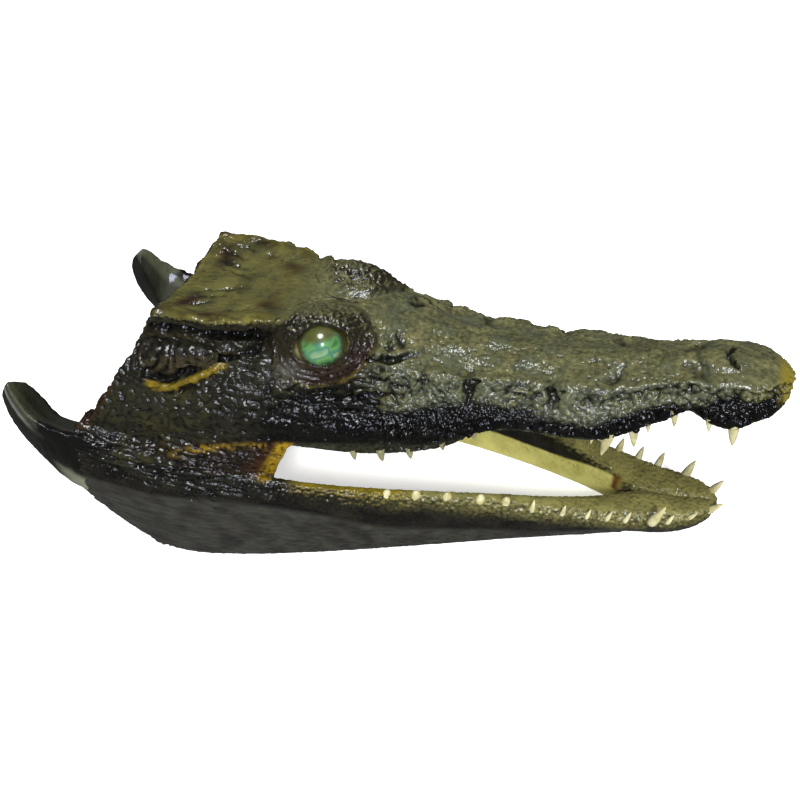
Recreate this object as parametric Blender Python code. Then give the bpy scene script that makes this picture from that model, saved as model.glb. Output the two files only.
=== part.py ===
"""Preserved head of a young crocodile, mouth open, resting on its lower jaw.

Metres, +Z up, +X towards the tip of the snout, +Y to the animal's left.
The origin is on the floor, under the middle of the head's bounding box.

The forms are written in shares of the skull's length, in two local frames.
Both run backwards from the tip of the snout (s), out to the side (y) and up (z):
the head's frame has z = 0 on the upper tooth row, and the jaw's frame, which the
open mouth turns about the jaw joint, has z = 0 on the lower tooth row.
"""
import math

import bmesh
import bpy
import numpy as np
from mathutils import Matrix, Vector

SKULL = 0.260                    # tip of the snout to the back of the skull's table
NOSE_UP = math.radians(1.9)      # pitch of the upper head as it lies
GAPE = math.radians(13.7)        # angle between the tooth rows
JOINT = (1.10, 0.030)            # jaw joint in the head's frame: s, z
GAP = 0.0003                     # clearance between pieces that meet
GROWTH = 0.0004                  # how far a cutter stands out from the piece it copies
NECK_CUT = 0.560                 # s of the cut between snout and cranium
PROCESS_CUT = 1.170              # s of the cut between the jaw and its bare rear process
FLOOR_SHAVE = 0.0006             # depth of the small flats that the jaw rests on

# Counts that set how fine the facets are.
SECTION_STEPS = 16               # points down half a section of the head
JAW_STEPS = 14                   # points round a section of the jaw
SNOUT_RINGS, CRANIUM_RINGS, JAW_RINGS = 18, 13, 17
TOOTH_SIDES = 6
EYE_MESH, EAR_MESH, DISH_MESH, KNOB_MESH = (14, 9), (12, 7), (16, 8), (10, 6)


def smooth(*stations):
    """A smooth curve through (s, value) stations, flat beyond the first and last."""
    places, values = np.array(stations, float).T
    slopes = np.gradient(values, places)

    def value_at(s):
        s = np.clip(s, places[0], places[-1])
        i = np.clip(np.searchsorted(places, s, side="right") - 1, 0, len(places) - 2)
        step = places[i + 1] - places[i]
        t = (s - places[i]) / step
        rise = (3 - 2 * t) * t * t
        return (values[i] * (1 - rise) + values[i + 1] * rise
                + step * t * (1 - t) * (slopes[i] * (1 - t) - slopes[i + 1] * t))

    return value_at


# --- The upper head, in shares of the skull's length -------------------------------

# Half width along the lip: round premaxilla, notch for the fourth lower tooth, swell
# of the fifth upper tooth, then an even flare to the cheeks.
HEAD_WIDTH = smooth((-0.028, 0.004), (-0.018, 0.034), (0.0, 0.056), (0.03, 0.074),
                    (0.06, 0.084), (0.09, 0.083), (0.135, 0.070), (0.18, 0.081),
                    (0.23, 0.103), (0.28, 0.118), (0.34, 0.119), (0.40, 0.123),
                    (0.5, 0.144), (0.6, 0.162), (0.7, 0.176), (0.8, 0.197),
                    (0.9, 0.214), (1.0, 0.222))
# Height of the lip: it waves down at the big teeth and up between them.
LIP = smooth((-0.028, 0.043), (-0.01, 0.022), (0.03, 0.010), (0.07, 0.002),
             (0.10, 0.010), (0.13, 0.023), (0.16, 0.008), (0.21, -0.002),
             (0.28, -0.010), (0.34, -0.006), (0.44, 0.008), (0.485, 0.004), (0.52, -0.013),
             (0.60, -0.027), (0.69, -0.027), (0.74, -0.014), (0.79, 0.002), (0.9, 0.010),
             (1.0, 0.004))
# Height of the midline: snout, rise to the brows, flat skull table.
CREST = smooth((-0.028, 0.052), (-0.01, 0.068), (0.03, 0.080), (0.07, 0.084),
               (0.12, 0.082), (0.2, 0.078), (0.3, 0.080), (0.4, 0.090), (0.5, 0.107),
               (0.58, 0.134), (0.65, 0.160), (0.72, 0.176), (0.8, 0.193),
               (0.9, 0.206), (1.0, 0.214))
# The upper edge at the side: snout shoulder, brow above the eye, edge of the table.
EDGE_Y = smooth((-0.028, 0.003), (0.0, 0.034), (0.07, 0.048), (0.13, 0.044),
                (0.2, 0.050), (0.3, 0.057), (0.4, 0.059), (0.5, 0.065), (0.6, 0.076),
                (0.66, 0.081), (0.72, 0.081), (0.79, 0.104), (0.87, 0.130), (1.0, 0.138))
EDGE_RISE = smooth((-0.028, -0.002), (0.0, -0.007), (0.07, -0.008), (0.2, -0.010),
                   (0.3, -0.013), (0.4, -0.016), (0.5, -0.018), (0.58, -0.014),
                   (0.64, 0.006), (0.70, 0.024), (0.75, 0.016), (0.80, 0.008),
                   (0.87, 0.004), (0.95, 0.008), (1.0, 0.018))
# How far the wall under that edge is drawn in: the groove of the ear at the back.
UNDERCUT = smooth((-0.028, 0.32), (0.3, 0.34), (0.6, 0.36), (0.66, 0.42), (0.71, 0.43),
                  (0.76, 0.34), (0.82, 0.0), (0.88, -0.14), (1.0, -0.14))
# The sections lean back towards the jaw joint, behind the skull table: by how much,
# at this depth below the crest.
LEAN_DEPTH = 0.19
LEAN = smooth((0.0, 0.0), (0.70, 0.0), (0.85, 0.050), (1.0, 0.165))
HEAD_FRONT, HEAD_BACK = -0.028, 1.004

EYE = (0.722, 0.085, 0.139)      # centre of the eyeball
EYE_RADIUS = 0.0118              # metres
EAR = (0.964, 0.147, 0.154)      # centre of the ear's lid
EAR_REACH = (0.086, 0.024, 0.024)
EAR_DIP = math.radians(4)        # the lid rises towards the eye
OCCIPUT = (1.083, 0.0, 0.105)    # middle of the slanting back face
OCCIPUT_TILT = math.radians(38)  # how far that face looks up
OCCIPUT_DISH = (0.042, 0.145, 0.085)
CONDYLE = (1.070, 0.0, 0.090)    # the round knob that met the first neck bone
CONDYLE_REACH = (0.036, 0.026, 0.026)
# The skin at the corner of the mouth: from and to, thickness, how far it slants back
# and spreads out in its height, and how far its front edge is hollowed.
CORNER_REACH = (0.764, 1.02)
CORNER_DEPTH = 0.022
CORNER_SLANT = 0.70
CORNER_SPREAD = 0.016
CORNER_HOLLOW = 0.008


def half_section(s):
    """Control points of the head's half section, from the palate round to the crest."""
    width, lip, crest, edge = HEAD_WIDTH(s), LIP(s), CREST(s), EDGE_Y(s)
    rise = crest - lip
    brow = crest + EDGE_RISE(s)
    side = width - edge
    return [(0 * s, lip + 0.12 * rise), (0.60 * width, lip + 0.11 * rise),
            (0.88 * width, lip + 0.02 * rise), (0.97 * width, lip - 0.01 * rise),
            (width, lip + 0.10 * rise), (1.01 * width, lip + 0.30 * rise),
            (edge + 0.62 * side, lip + 0.58 * rise),
            (edge + UNDERCUT(s) * side, lip + 0.84 * rise),
            (edge, brow), (0.55 * edge, crest + 0.45 * EDGE_RISE(s)), (0 * s, crest)]


def through(points, steps):
    """Smooth curves through control points, one for each s, level at both ends."""
    controls = np.moveaxis(np.array(points), -1, 0)
    curves = np.zeros((len(controls), steps, 2))
    for row, control in enumerate(controls):
        chords = np.linalg.norm(np.diff(control, axis=0), axis=1) ** 0.7
        places = np.concatenate([[0], np.cumsum(chords + 1e-9)])
        slopes = np.gradient(control, places, axis=0)
        slopes[0, 1] = slopes[-1, 1] = 0
        wanted = np.linspace(0, places[-1], steps)
        i = np.clip(np.searchsorted(places, wanted, side="right") - 1, 0, len(places) - 2)
        step = (places[i + 1] - places[i])[:, None]
        t = (wanted[:, None] - places[i][:, None]) / step
        rise = (3 - 2 * t) * t * t
        curves[row] = (control[i] * (1 - rise) + control[i + 1] * rise
                       + step * t * (1 - t) * (slopes[i] * (1 - t) - slopes[i + 1] * t))
    return curves


def head_rings(s, steps=SECTION_STEPS):
    """Rings of the upper head at each s: an array of (s, y, z)."""
    half = through(half_section(s), steps)
    ring = np.concatenate([half * (-1, 1), half[:, -2:0:-1]], axis=1)
    drop = CREST(s)[:, None] - ring[..., 1]
    back = s[:, None] + LEAN(s)[:, None] * drop / LEAN_DEPTH
    return np.stack([back, ring[..., 0], ring[..., 1]], axis=-1)


# --- The lower jaw, in shares of the skull's length --------------------------------

JAW_FRONT = 0.034
JAW_OUTER = smooth((0.034, 0.010), (0.040, 0.024), (0.055, 0.043), (0.08, 0.061),
                   (0.11, 0.075), (0.15, 0.085), (0.20, 0.095), (0.28, 0.112),
                   (0.36, 0.128), (0.45, 0.148), (0.55, 0.172), (0.65, 0.197),
                   (0.75, 0.220), (0.85, 0.241), (0.95, 0.256), (1.05, 0.262),
                   (1.17, 0.258))
JAW_INNER = smooth((0.034, 0.0), (0.175, 0.0), (0.20, 0.005), (0.225, 0.020),
                   (0.26, 0.038), (0.31, 0.058), (0.44, 0.102), (0.62, 0.150),
                   (0.75, 0.181), (0.9, 0.204), (1.05, 0.190), (1.17, 0.168))
JAW_TOP = smooth((0.034, -0.002), (0.05, 0.003), (0.10, -0.004), (0.2, -0.012),
                 (0.3, -0.010), (0.45, -0.003), (0.6, -0.006), (0.75, -0.004),
                 (0.85, 0.004), (1.0, 0.012), (1.08, 0.026), (1.17, 0.040))
JAW_BOTTOM = smooth((0.034, -0.026), (0.055, -0.050), (0.1, -0.072), (0.2, -0.093),
                    (0.4, -0.131), (0.57, -0.168), (0.75, -0.207), (0.9, -0.240),
                    (0.96, -0.255), (1.02, -0.263), (1.08, -0.244), (1.17, -0.184))
# The outer face leans in towards the lower edge.
JAW_TUCK_POWER = 1.6
JAW_ROUNDING = 0.72              # 1 gives round sections, 0 square ones
JAW_TUCK = smooth((0.034, 0.30), (0.2, 0.40), (0.5, 0.40), (0.8, 0.30), (1.17, 0.10))


def jaw_rings(s, steps=JAW_STEPS):
    """Rings of one side of the lower jaw, in the jaw's frame."""
    outer, inner, top, low = (f(s)[:, None] for f in (JAW_OUTER, JAW_INNER, JAW_TOP, JAW_BOTTOM))
    angle = np.linspace(0, 2 * math.pi, steps, endpoint=False)[None, :] + math.pi / steps
    across = np.sign(np.cos(angle)) * np.abs(np.cos(angle)) ** JAW_ROUNDING
    up = np.sign(np.sin(angle)) * np.abs(np.sin(angle)) ** JAW_ROUNDING
    height = (1 + up) / 2
    reach = outer - (1 - height) ** JAW_TUCK_POWER * JAW_TUCK(s)[:, None] * (outer - inner)
    y = inner + (reach - inner) * (1 + across) / 2
    z = low + (top - low) * height
    return np.stack([np.broadcast_to(s[:, None], y.shape), y, z], axis=-1)


# The bare process behind the jaw joint: a broad scoop that narrows to an upturned
# tip. Its outer edge stands higher than its inner edge.
PROCESS_OUTER = ((1.171, 0.257, 0.042), (1.215, 0.258, 0.042), (1.255, 0.250, 0.056),
                 (1.283, 0.238, 0.086), (1.298, 0.224, 0.094))
PROCESS_INNER = ((1.171, 0.170, -0.016), (1.205, 0.172, -0.026), (1.243, 0.180, -0.012),
                 (1.270, 0.189, 0.046), (1.288, 0.198, 0.078))
PROCESS_LOWER = ((1.171, 0.236, -0.178), (1.230, 0.234, -0.134), (1.281, 0.228, -0.082),
                 (1.320, 0.222, -0.014), (1.326, 0.218, 0.062))


def process_rings():
    """Rings of the scoop: three edges, joined by rounded sides."""
    along = np.concatenate([np.linspace(0, 0.9, 8), [0.96, 1.0]])
    edges = []
    for path in (PROCESS_OUTER, PROCESS_LOWER, PROCESS_INNER):
        knots = np.linspace(0, 1, len(path))
        edges.append(np.stack([smooth(*zip(knots, column))(along) for column in zip(*path)], axis=-1))
    middle = sum(edges) / 3
    swell = (0.10, 0.02, -0.12)
    sides = [(a + b) / 2 + ((a + b) / 2 - middle) * out
             for a, b, out in zip(edges, edges[1:] + edges[:1], swell)]
    cage = np.stack([p for pair in zip(edges, sides) for p in pair], axis=1)
    before, after = np.roll(cage, 1, axis=1), np.roll(cage, -1, axis=1)
    soft = 0.16 * before + 0.68 * cage + 0.16 * after
    halfway = (9 * (cage + after) - before - np.roll(cage, -2, axis=1)) / 16
    return np.stack([soft, halfway], axis=2).reshape(len(along), -1, 3)


# --- Teeth: place along the jaw, length of the crown, and how far it leans forward ---

UPPER_TEETH = ((0.060, 0.044, 0.0), (0.097, 0.024, 0.0), (0.150, 0.030, 0.0),
               (0.190, 0.022, 0.0), (0.212, 0.042, 0.0), (0.250, 0.046, -0.3),
               (0.276, 0.014, -0.2), (0.467, 0.014, 0.0), (0.521, 0.010, 0.0),
               (0.578, 0.014, 0.0), (0.628, 0.014, 0.0), (0.676, 0.010, 0.0))
BACK_TEETH = ((0.258, 0.013, 0.2), (0.302, 0.015, 0.1), (0.356, 0.018, 0.0),
              (0.404, 0.011, 0.0), (0.449, 0.011, 0.0), (0.506, 0.011, 0.0),
              (0.560, 0.012, 0.0), (0.610, 0.009, 0.0))
RIGHT_FRONT_TEETH = ((0.046, 0.018, 0.9), (0.078, 0.010, 0.7), (0.116, 0.013, 0.3),
                     (0.143, 0.038, 0.3), (0.190, 0.016, 0.25), (0.222, 0.014, 0.25))
LEFT_FRONT_TEETH = ((0.046, 0.032, 0.4), (0.092, 0.036, 0.2), (0.143, 0.028, 0.1),
                    (0.181, 0.026, 0.1), (0.220, 0.028, 0.1))
LOWER_TEETH = {-1: RIGHT_FRONT_TEETH + BACK_TEETH, 1: LEFT_FRONT_TEETH + BACK_TEETH}
TOOTH_STOUTNESS = 0.19           # radius at the gum as a share of crown plus root
TOOTH_BEND = 0.10                # how far the tip bends inwards, as a share of the crown
ROOT = 0.008                     # how far a tooth runs on into the jaw
TOOTH_PROFILE = ((0.0, 0.95), (0.45, 0.92), (0.78, 0.55))   # share along it, width
# Rows: how far inside the jaw's edge, how deep in the gum, outward splay.
UPPER_ROW = (0.008, 0.002, 0.05)
SIDE_SPLAY, FRONT_END = 0.16, 0.10   # behind the front teeth
LOWER_ROW = (0.011, 0.004, 0.10)


# --- From the two local frames to the floor -----------------------------------------

def head_to_world(points):
    """Head's frame (s, y, z) to metres, before the head is set down on the floor."""
    s, y, z = np.moveaxis(np.asarray(points, float), -1, 0)
    turn = Matrix.Rotation(-NOSE_UP, 3, "Y")
    flat = np.stack([-s, y, z], axis=-1) * SKULL
    return flat @ np.array(turn).T


def jaw_to_head(points):
    """Jaw's frame to the head's frame: the mouth opens about the jaw joint."""
    s, y, z = np.moveaxis(np.asarray(points, float), -1, 0)
    ahead, above = JOINT[0] - s, z - JOINT[1]
    opened = math.cos(GAPE) * ahead + math.sin(GAPE) * above
    height = -math.sin(GAPE) * ahead + math.cos(GAPE) * above
    return np.stack([JOINT[0] - opened, y, JOINT[1] + height], axis=-1)


def jaw_to_world(points):
    return head_to_world(jaw_to_head(points))


# --- Blender helpers ----------------------------------------------------------------

def collection(name):
    found = bpy.data.collections.new(name)
    bpy.context.scene.collection.children.link(found)
    return found


def material(name, hex_colour, roughness):
    """A Principled material from an sRGB hex colour."""
    channels = [int(hex_colour[i:i + 2], 16) / 255 for i in (0, 2, 4)]
    linear = [c / 12.92 if c <= 0.04045 else ((c + 0.055) / 1.055) ** 2.4 for c in channels]
    made = bpy.data.materials.new(name)
    made.use_nodes = True
    shader = made.node_tree.nodes["Principled BSDF"]
    shader.inputs["Base Color"].default_value = (*linear, 1)
    shader.inputs["Roughness"].default_value = roughness
    return made


def solid(name, shape, where, look=None):
    """An object from a finished bmesh; one without a look is a cutter or a guide."""
    bmesh.ops.triangulate(shape, faces=shape.faces)
    bmesh.ops.recalc_face_normals(shape, faces=shape.faces)
    mesh = bpy.data.meshes.new(name)
    shape.to_mesh(mesh)
    shape.free()
    made = bpy.data.objects.new(name, mesh)
    where.objects.link(made)
    if look:
        mesh.materials.append(look)
    else:
        made.hide_render = True
        made.display_type = "WIRE"
    return made


def bridge(shape, rings):
    """Joins rings of vertices, one after another, with bands of faces."""
    for near, far in zip(rings, rings[1:]):
        for i in range(len(near)):
            j = (i + 1) % len(near)
            shape.faces.new((near[i], near[j], far[j], far[i]))


def loft(name, rings, where, look):
    """A closed body through rings of points, with its two end rings filled."""
    shape = bmesh.new()
    rows = [[shape.verts.new(point) for point in ring] for ring in rings]
    bridge(shape, rows)
    shape.faces.new(rows[0])
    shape.faces.new(rows[-1])
    bmesh.ops.remove_doubles(shape, verts=shape.verts, dist=1e-5)
    return solid(name, shape, where, look)


def ball(name, centre, radii, fineness, where, look=None, tilt=0.0):
    """An ellipsoid in the head's frame, its first axis tilted up by an angle."""
    shape = bmesh.new()
    segments, rings = fineness
    bmesh.ops.create_uvsphere(shape, u_segments=segments, v_segments=rings, radius=SKULL)
    place = Matrix.Translation(Vector(head_to_world(centre)))
    turn = Matrix.Rotation(tilt - NOSE_UP, 4, "Y")
    bmesh.ops.transform(shape, verts=shape.verts, matrix=place @ turn @ Matrix.Diagonal((*radii, 1)))
    return solid(name, shape, where, look)


def grown(source, where):
    """A cutter: a copy whose surface stands a hair outside the source."""
    shape = bmesh.new()
    shape.from_mesh(source.data)
    shape.normal_update()
    for vertex in shape.verts:
        vertex.co += vertex.normal * GROWTH
    return solid(source.name + "_cutter", shape, where)


def combine(target, other, operation):
    step = target.modifiers.new(other.name, "BOOLEAN")
    step.operation = operation
    step.object = other
    step.solver = "EXACT"


def settle(target):
    """Bakes the modifiers, so that a neighbour is cut by the finished shape."""
    bpy.context.view_layer.update()
    depsgraph = bpy.context.evaluated_depsgraph_get()
    mesh = bpy.data.meshes.new_from_object(target.evaluated_get(depsgraph))
    target.modifiers.clear()
    target.data = mesh


# --- Teeth ----------------------------------------------------------------------------

def add_tooth(shape, gum, tip, inward):
    """One cone from a root in the jaw, through the gum, bending inwards to its tip."""
    point = (tip - gum).normalized()
    crown = (tip - gum).length
    whole = crown + ROOT * SKULL
    across = point.orthogonal().normalized()
    other = point.cross(across)
    rings = []
    for share, width in TOOTH_PROFILE:
        bend = inward * TOOTH_BEND * crown * share ** 2
        centre = gum + point * (share * whole - ROOT * SKULL) + bend
        turns = [2 * math.pi * i / TOOTH_SIDES for i in range(TOOTH_SIDES)]
        rings.append([shape.verts.new(centre + (across * math.cos(a) + other * math.sin(a))
                                      * TOOTH_STOUTNESS * whole * width) for a in turns])
    end = shape.verts.new(tip + inward * TOOTH_BEND * crown)
    bridge(shape, rings)
    shape.faces.new(rings[0])
    for i in range(TOOTH_SIDES):
        shape.faces.new((rings[-1][i], rings[-1][(i + 1) % TOOTH_SIDES], end))


def upper_tooth(place, length, lean, side):
    """Gum and tip of an upper tooth, in metres."""
    inset, depth, splay = UPPER_ROW
    if place > FRONT_END:
        splay = SIDE_SPLAY
    reach, lip = HEAD_WIDTH(place) - inset, LIP(place)
    gum = (place, side * reach, lip - depth)
    tip = (place - lean * length, side * (reach + splay * length), lip - length)
    return head_to_world(gum), head_to_world(tip)


def lower_tooth(place, length, lean, side):
    """Gum and tip of a lower tooth, in metres."""
    inset, depth, splay = LOWER_ROW
    reach, top = JAW_OUTER(place) - inset, JAW_TOP(place)
    gum = (place, side * reach, top - depth)
    tip = (place - lean * length, side * (reach + splay * length), top + length)
    return jaw_to_world(gum), jaw_to_world(tip)


def tooth_row(name, tooth, table, sides, where):
    """All the teeth of one row as a guide, to be joined to their jaw."""
    shape = bmesh.new()
    for side in sides:
        for entry in table:
            gum, tip = tooth(*entry, side)
            add_tooth(shape, Vector(gum), Vector(tip), Vector((0, -side, 0)))
    return solid(name, shape, where)


# --- The pieces of the head -------------------------------------------------------------

def snout(where, cutters, look):
    """The upper jaw in front of the eyes, with the upper teeth that grow from it."""
    places = np.concatenate([[HEAD_FRONT, -0.024, -0.016, 0.0], np.linspace(0.025, NECK_CUT, SNOUT_RINGS)])
    body = loft("snout", head_to_world(head_rings(places)), where, look)
    teeth = [entry for entry in UPPER_TEETH if entry[0] < NECK_CUT]
    combine(body, tooth_row("upper_teeth", upper_tooth, teeth, (-1, 1), cutters), "UNION")
    settle(body)
    return body


def eye(side, name, where, look):
    s, y, z = EYE
    return ball("eye_" + name, (s, side * y, z), (EYE_RADIUS / SKULL,) * 3, EYE_MESH, where, look)


def ear_lid(side, name, where, look):
    """The long lid that closes the ear, under the overhanging edge of the table."""
    s, y, z = EAR
    return ball("ear_lid_" + name, (s, side * y, z), EAR_REACH, EAR_MESH, where, look, -EAR_DIP)


def cranium(set_in, where, cutters, look):
    """Brows, skull table, cheeks and the dished back of the head."""
    places = np.linspace(NECK_CUT + GAP / SKULL, HEAD_BACK, CRANIUM_RINGS)
    body = loft("cranium", head_to_world(head_rings(places)), where, look)
    teeth = [entry for entry in UPPER_TEETH if entry[0] > NECK_CUT]
    combine(body, tooth_row("cheek_teeth", upper_tooth, teeth, (-1, 1), cutters), "UNION")
    for piece in set_in:
        combine(body, grown(piece, cutters), "DIFFERENCE")
    dish = ball("occiput_dish", OCCIPUT, OCCIPUT_DISH, DISH_MESH, cutters, tilt=OCCIPUT_TILT)
    combine(body, dish, "DIFFERENCE")
    knob = ball("condyle_form", CONDYLE, CONDYLE_REACH, KNOB_MESH, cutters, tilt=OCCIPUT_TILT)
    combine(body, knob, "UNION")
    settle(body)
    return body


def lower_jaw(side, name, skull, where, cutters, look):
    """One side of the lower jaw, with its teeth; the skull's joint sits in its rear end."""
    places = np.concatenate([[JAW_FRONT, 0.040, 0.050, 0.064], np.linspace(0.085, PROCESS_CUT, JAW_RINGS)])
    rings = jaw_rings(places)
    rings[..., 1] = np.maximum(rings[..., 1], GAP / 2 / SKULL) * side
    body = loft("lower_jaw_" + name, jaw_to_world(rings), where, look)
    row = tooth_row("lower_teeth_" + name, lower_tooth, LOWER_TEETH[side], (side,), cutters)
    combine(body, row, "UNION")
    combine(body, grown(skull, cutters), "DIFFERENCE")
    settle(body)
    return body


def jaw_process(side, name, neighbours, where, cutters, look):
    """The bare scoop of bone behind the jaw joint."""
    rings = process_rings() * np.array((1, side, 1))
    body = loft("jaw_process_" + name, jaw_to_world(rings), where, look)
    for neighbour in neighbours:
        combine(body, grown(neighbour, cutters), "DIFFERENCE")
    settle(body)


def mouth_corner(side, name, neighbours, where, cutters, look):
    """The skin that closes the corner of the mouth between lip and lower jaw."""
    rings = []
    for place in np.linspace(*CORNER_REACH, 7):
        outer = HEAD_WIDTH(place) - 0.004
        top = LIP(place) + 0.020
        under = jaw_to_head((place + 0.02, 0, JAW_TOP(place) - 0.03))[2]
        edge = [(place, outer, top),
                (place + CORNER_SLANT * (top - under) / 2 + CORNER_HOLLOW,
                 outer + CORNER_SPREAD, (top + under) / 2),
                (place + CORNER_SLANT * (top - under), outer + CORNER_SPREAD, under)]
        inside = [(s, y - CORNER_DEPTH, z) for s, y, z in reversed(edge)]
        rings.append([(s, side * y, z) for s, y, z in edge + inside])
    body = loft("mouth_corner_" + name, head_to_world(np.array(rings)), where, look)
    for neighbour in neighbours:
        combine(body, grown(neighbour, cutters), "DIFFERENCE")
    settle(body)


def build():
    parts = collection("preserved_crocodile_head")
    cutters = collection("cutters")
    hide = material("olive_hide", "4a4d33", 0.25)
    dark_hide = material("dark_hide", "2b2c26", 0.25)
    green_shell = material("green_shell", "3f8f62", 0.08)
    bone = material("varnished_bone", "2f3327", 0.2)
    amber = material("amber_skin", "8a6418", 0.3)

    sides = ((-1, "right"), (1, "left"))
    snout(parts, cutters, hide)
    eyes = [eye(*side, parts, green_shell) for side in sides]
    ears = [ear_lid(*side, parts, dark_hide) for side in sides]
    skull = cranium(eyes + ears, parts, cutters, hide)
    for side in sides:
        jaw = lower_jaw(*side, skull, parts, cutters, dark_hide)
        jaw_process(*side, (skull, jaw), parts, cutters, bone)
        mouth_corner(*side, (skull, jaw), parts, cutters, amber)
    return parts


def shave(item):
    """Cuts an object off at the floor, which leaves it small flats to rest on."""
    shape = bmesh.new()
    shape.from_mesh(item.data)
    everything = shape.verts[:] + shape.edges[:] + shape.faces[:]
    cut = bmesh.ops.bisect_plane(shape, geom=everything, plane_co=(0, 0, 0),
                                 plane_no=(0, 0, -1), clear_outer=True)
    rim = [edge for edge in cut["geom_cut"] if isinstance(edge, bmesh.types.BMEdge)]
    if rim:
        bmesh.ops.contextual_create(shape, geom=rim)
        bmesh.ops.triangulate(shape, faces=shape.faces)
        bmesh.ops.recalc_face_normals(shape, faces=shape.faces)
        shape.to_mesh(item.data)
    shape.free()


def set_down(parts):
    """Moves the head so that its jaw rests on the floor, centred over the origin."""
    points = np.array([vertex.co for item in parts.objects for vertex in item.data.vertices])
    low, high = points.min(axis=0), points.max(axis=0)
    middle = (low + high) / 2
    shift = Vector((-middle[0], -middle[1], -low[2] - FLOOR_SHAVE))
    for item in parts.objects:
        item.data.transform(Matrix.Translation(shift))
        shave(item)


for old in list(bpy.data.objects):
    bpy.data.objects.remove(old, do_unlink=True)
set_down(build())
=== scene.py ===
# %% [markdown]
# # A preserved crocodile head
# The object is the dried and varnished head of a young crocodile, lying on its lower
# jaw with its mouth open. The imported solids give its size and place. This scene gives
# it one continuous skin, teeth, eyes and the two bare ends of bone behind the jaw.

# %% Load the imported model
import itertools
import math
import bpy
import numpy as np
from mathutils import Matrix, Vector


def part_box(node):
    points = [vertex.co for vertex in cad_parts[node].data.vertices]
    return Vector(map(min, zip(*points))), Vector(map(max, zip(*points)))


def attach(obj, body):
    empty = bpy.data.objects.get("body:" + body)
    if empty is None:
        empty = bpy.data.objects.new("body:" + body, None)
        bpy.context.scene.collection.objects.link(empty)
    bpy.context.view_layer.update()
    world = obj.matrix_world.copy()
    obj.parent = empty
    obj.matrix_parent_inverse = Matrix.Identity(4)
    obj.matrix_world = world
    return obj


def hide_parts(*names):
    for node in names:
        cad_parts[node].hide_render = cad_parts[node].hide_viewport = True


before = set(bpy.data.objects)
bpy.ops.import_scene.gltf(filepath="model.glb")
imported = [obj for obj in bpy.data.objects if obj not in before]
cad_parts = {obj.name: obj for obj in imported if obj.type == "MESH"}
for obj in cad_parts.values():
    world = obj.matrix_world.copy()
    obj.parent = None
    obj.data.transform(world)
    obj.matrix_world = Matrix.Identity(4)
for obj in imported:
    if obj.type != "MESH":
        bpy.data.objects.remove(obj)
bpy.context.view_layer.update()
print("solids:", sorted(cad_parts))

# %% [markdown]
# ## The head's own measure
# An anatomist measures a skull from the tip of the snout back, and in shares of its
# length. The forms below use the same frame: s runs back from the tip, y out from the
# midline, z up from the upper tooth row. The lower jaw has a frame of its own that
# turns about the jaw joint, so opening the mouth is one angle and not a new shape.
# The middle between the two packed eyes ties this frame to the floor.

# %% From shares of the skull to metres on the floor
SKULL = 0.260                       # tip of the snout to the back of the skull table, metres
MM = SKULL * 1000                   # millimetres in one share
NOSE_UP = math.radians(1.9)
GAPE = math.radians(13.7)
JOINT = (1.10, 0.030)               # jaw joint: s, z
EYE = np.array((0.722, 0.085, 0.139))
EYE_RADIUS = 0.0118                 # metres
TURN = np.array(Matrix.Rotation(-NOSE_UP, 3, "Y"))


def middle_of(node):
    low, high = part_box(node)
    return (np.array(low) + np.array(high)) / 2


def turned(points):
    """Head directions (s, y, z) as directions on the floor, still in shares."""
    return (np.asarray(points, float) * (-1, 1, 1)) @ TURN.T


ORIGIN = (middle_of("eye_right") + middle_of("eye_left")) / 2 - SKULL * turned(EYE * (1, 0, 1))


def head_to_world(points):
    return ORIGIN + SKULL * turned(points)


def world_to_head(points):
    return ((points - ORIGIN) @ TURN / SKULL) * (-1, 1, 1)


def hinged(points, angle):
    """Points of the head turned about the jaw joint."""
    s, y, z = np.moveaxis(np.asarray(points, float), -1, 0)
    ahead, above = JOINT[0] - s, z - JOINT[1]
    turned_ahead = math.cos(angle) * ahead + math.sin(angle) * above
    turned_above = -math.sin(angle) * ahead + math.cos(angle) * above
    return np.stack([JOINT[0] - turned_ahead, y, JOINT[1] + turned_above], axis=-1)


def jaw_to_head(points):
    return hinged(points, GAPE)


def head_to_jaw(points):
    return hinged(points, -GAPE)


print("snout tip at", head_to_world((0, 0, 0.05)).round(4))

# %% [markdown]
# ## The camera
# It looks down on the right side of the head from a little in front, about 0.4 m away,
# which gives the near jaw its slight enlargement. It is tilted a few degrees, as a
# camera held by hand is. The shift only moves the picture in its frame.

# %% Camera
CAMERA_SPOT = (0.1287, -0.2835, 0.3221)
AZIMUTH, ELEVATION, ROLL = (math.radians(a) for a in (20.18, 38.23, -8.47))
camera = bpy.data.objects.new("camera", bpy.data.cameras.new("camera"))
bpy.context.scene.collection.objects.link(camera)
aim = Vector((-math.sin(AZIMUTH) * math.cos(ELEVATION), math.cos(AZIMUTH) * math.cos(ELEVATION),
              -math.sin(ELEVATION)))
level = Vector((math.cos(AZIMUTH), math.sin(AZIMUTH), 0))
right = level * math.cos(ROLL) + level.cross(aim) * math.sin(ROLL)
camera.matrix_world = (Matrix.Translation(CAMERA_SPOT) @ Matrix((right, right.cross(aim),
                                                                 -aim)).transposed().to_4x4())
camera.data.sensor_width = 36
camera.data.lens = 37.43
camera.data.shift_x = -0.0545
camera.data.shift_y = -0.0401
camera.data.clip_start = 0.01
bpy.context.scene.camera = camera
print("camera is", round((Vector(CAMERA_SPOT) - Vector(head_to_world(EYE))).length, 3), "m from the eye")

# %% [markdown]
# ## The form of the head
# Each form is a few curves along the head: how wide it is at the lip, how high at the
# midline, where the brow stands. A smooth curve through stations is how boat hulls and
# animal forms are drawn, and these are the curves that the solids were made from, so
# the skin fits them. Stations and values are in thousandths, mostly of the skull.

# %% Curves along the head

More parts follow.
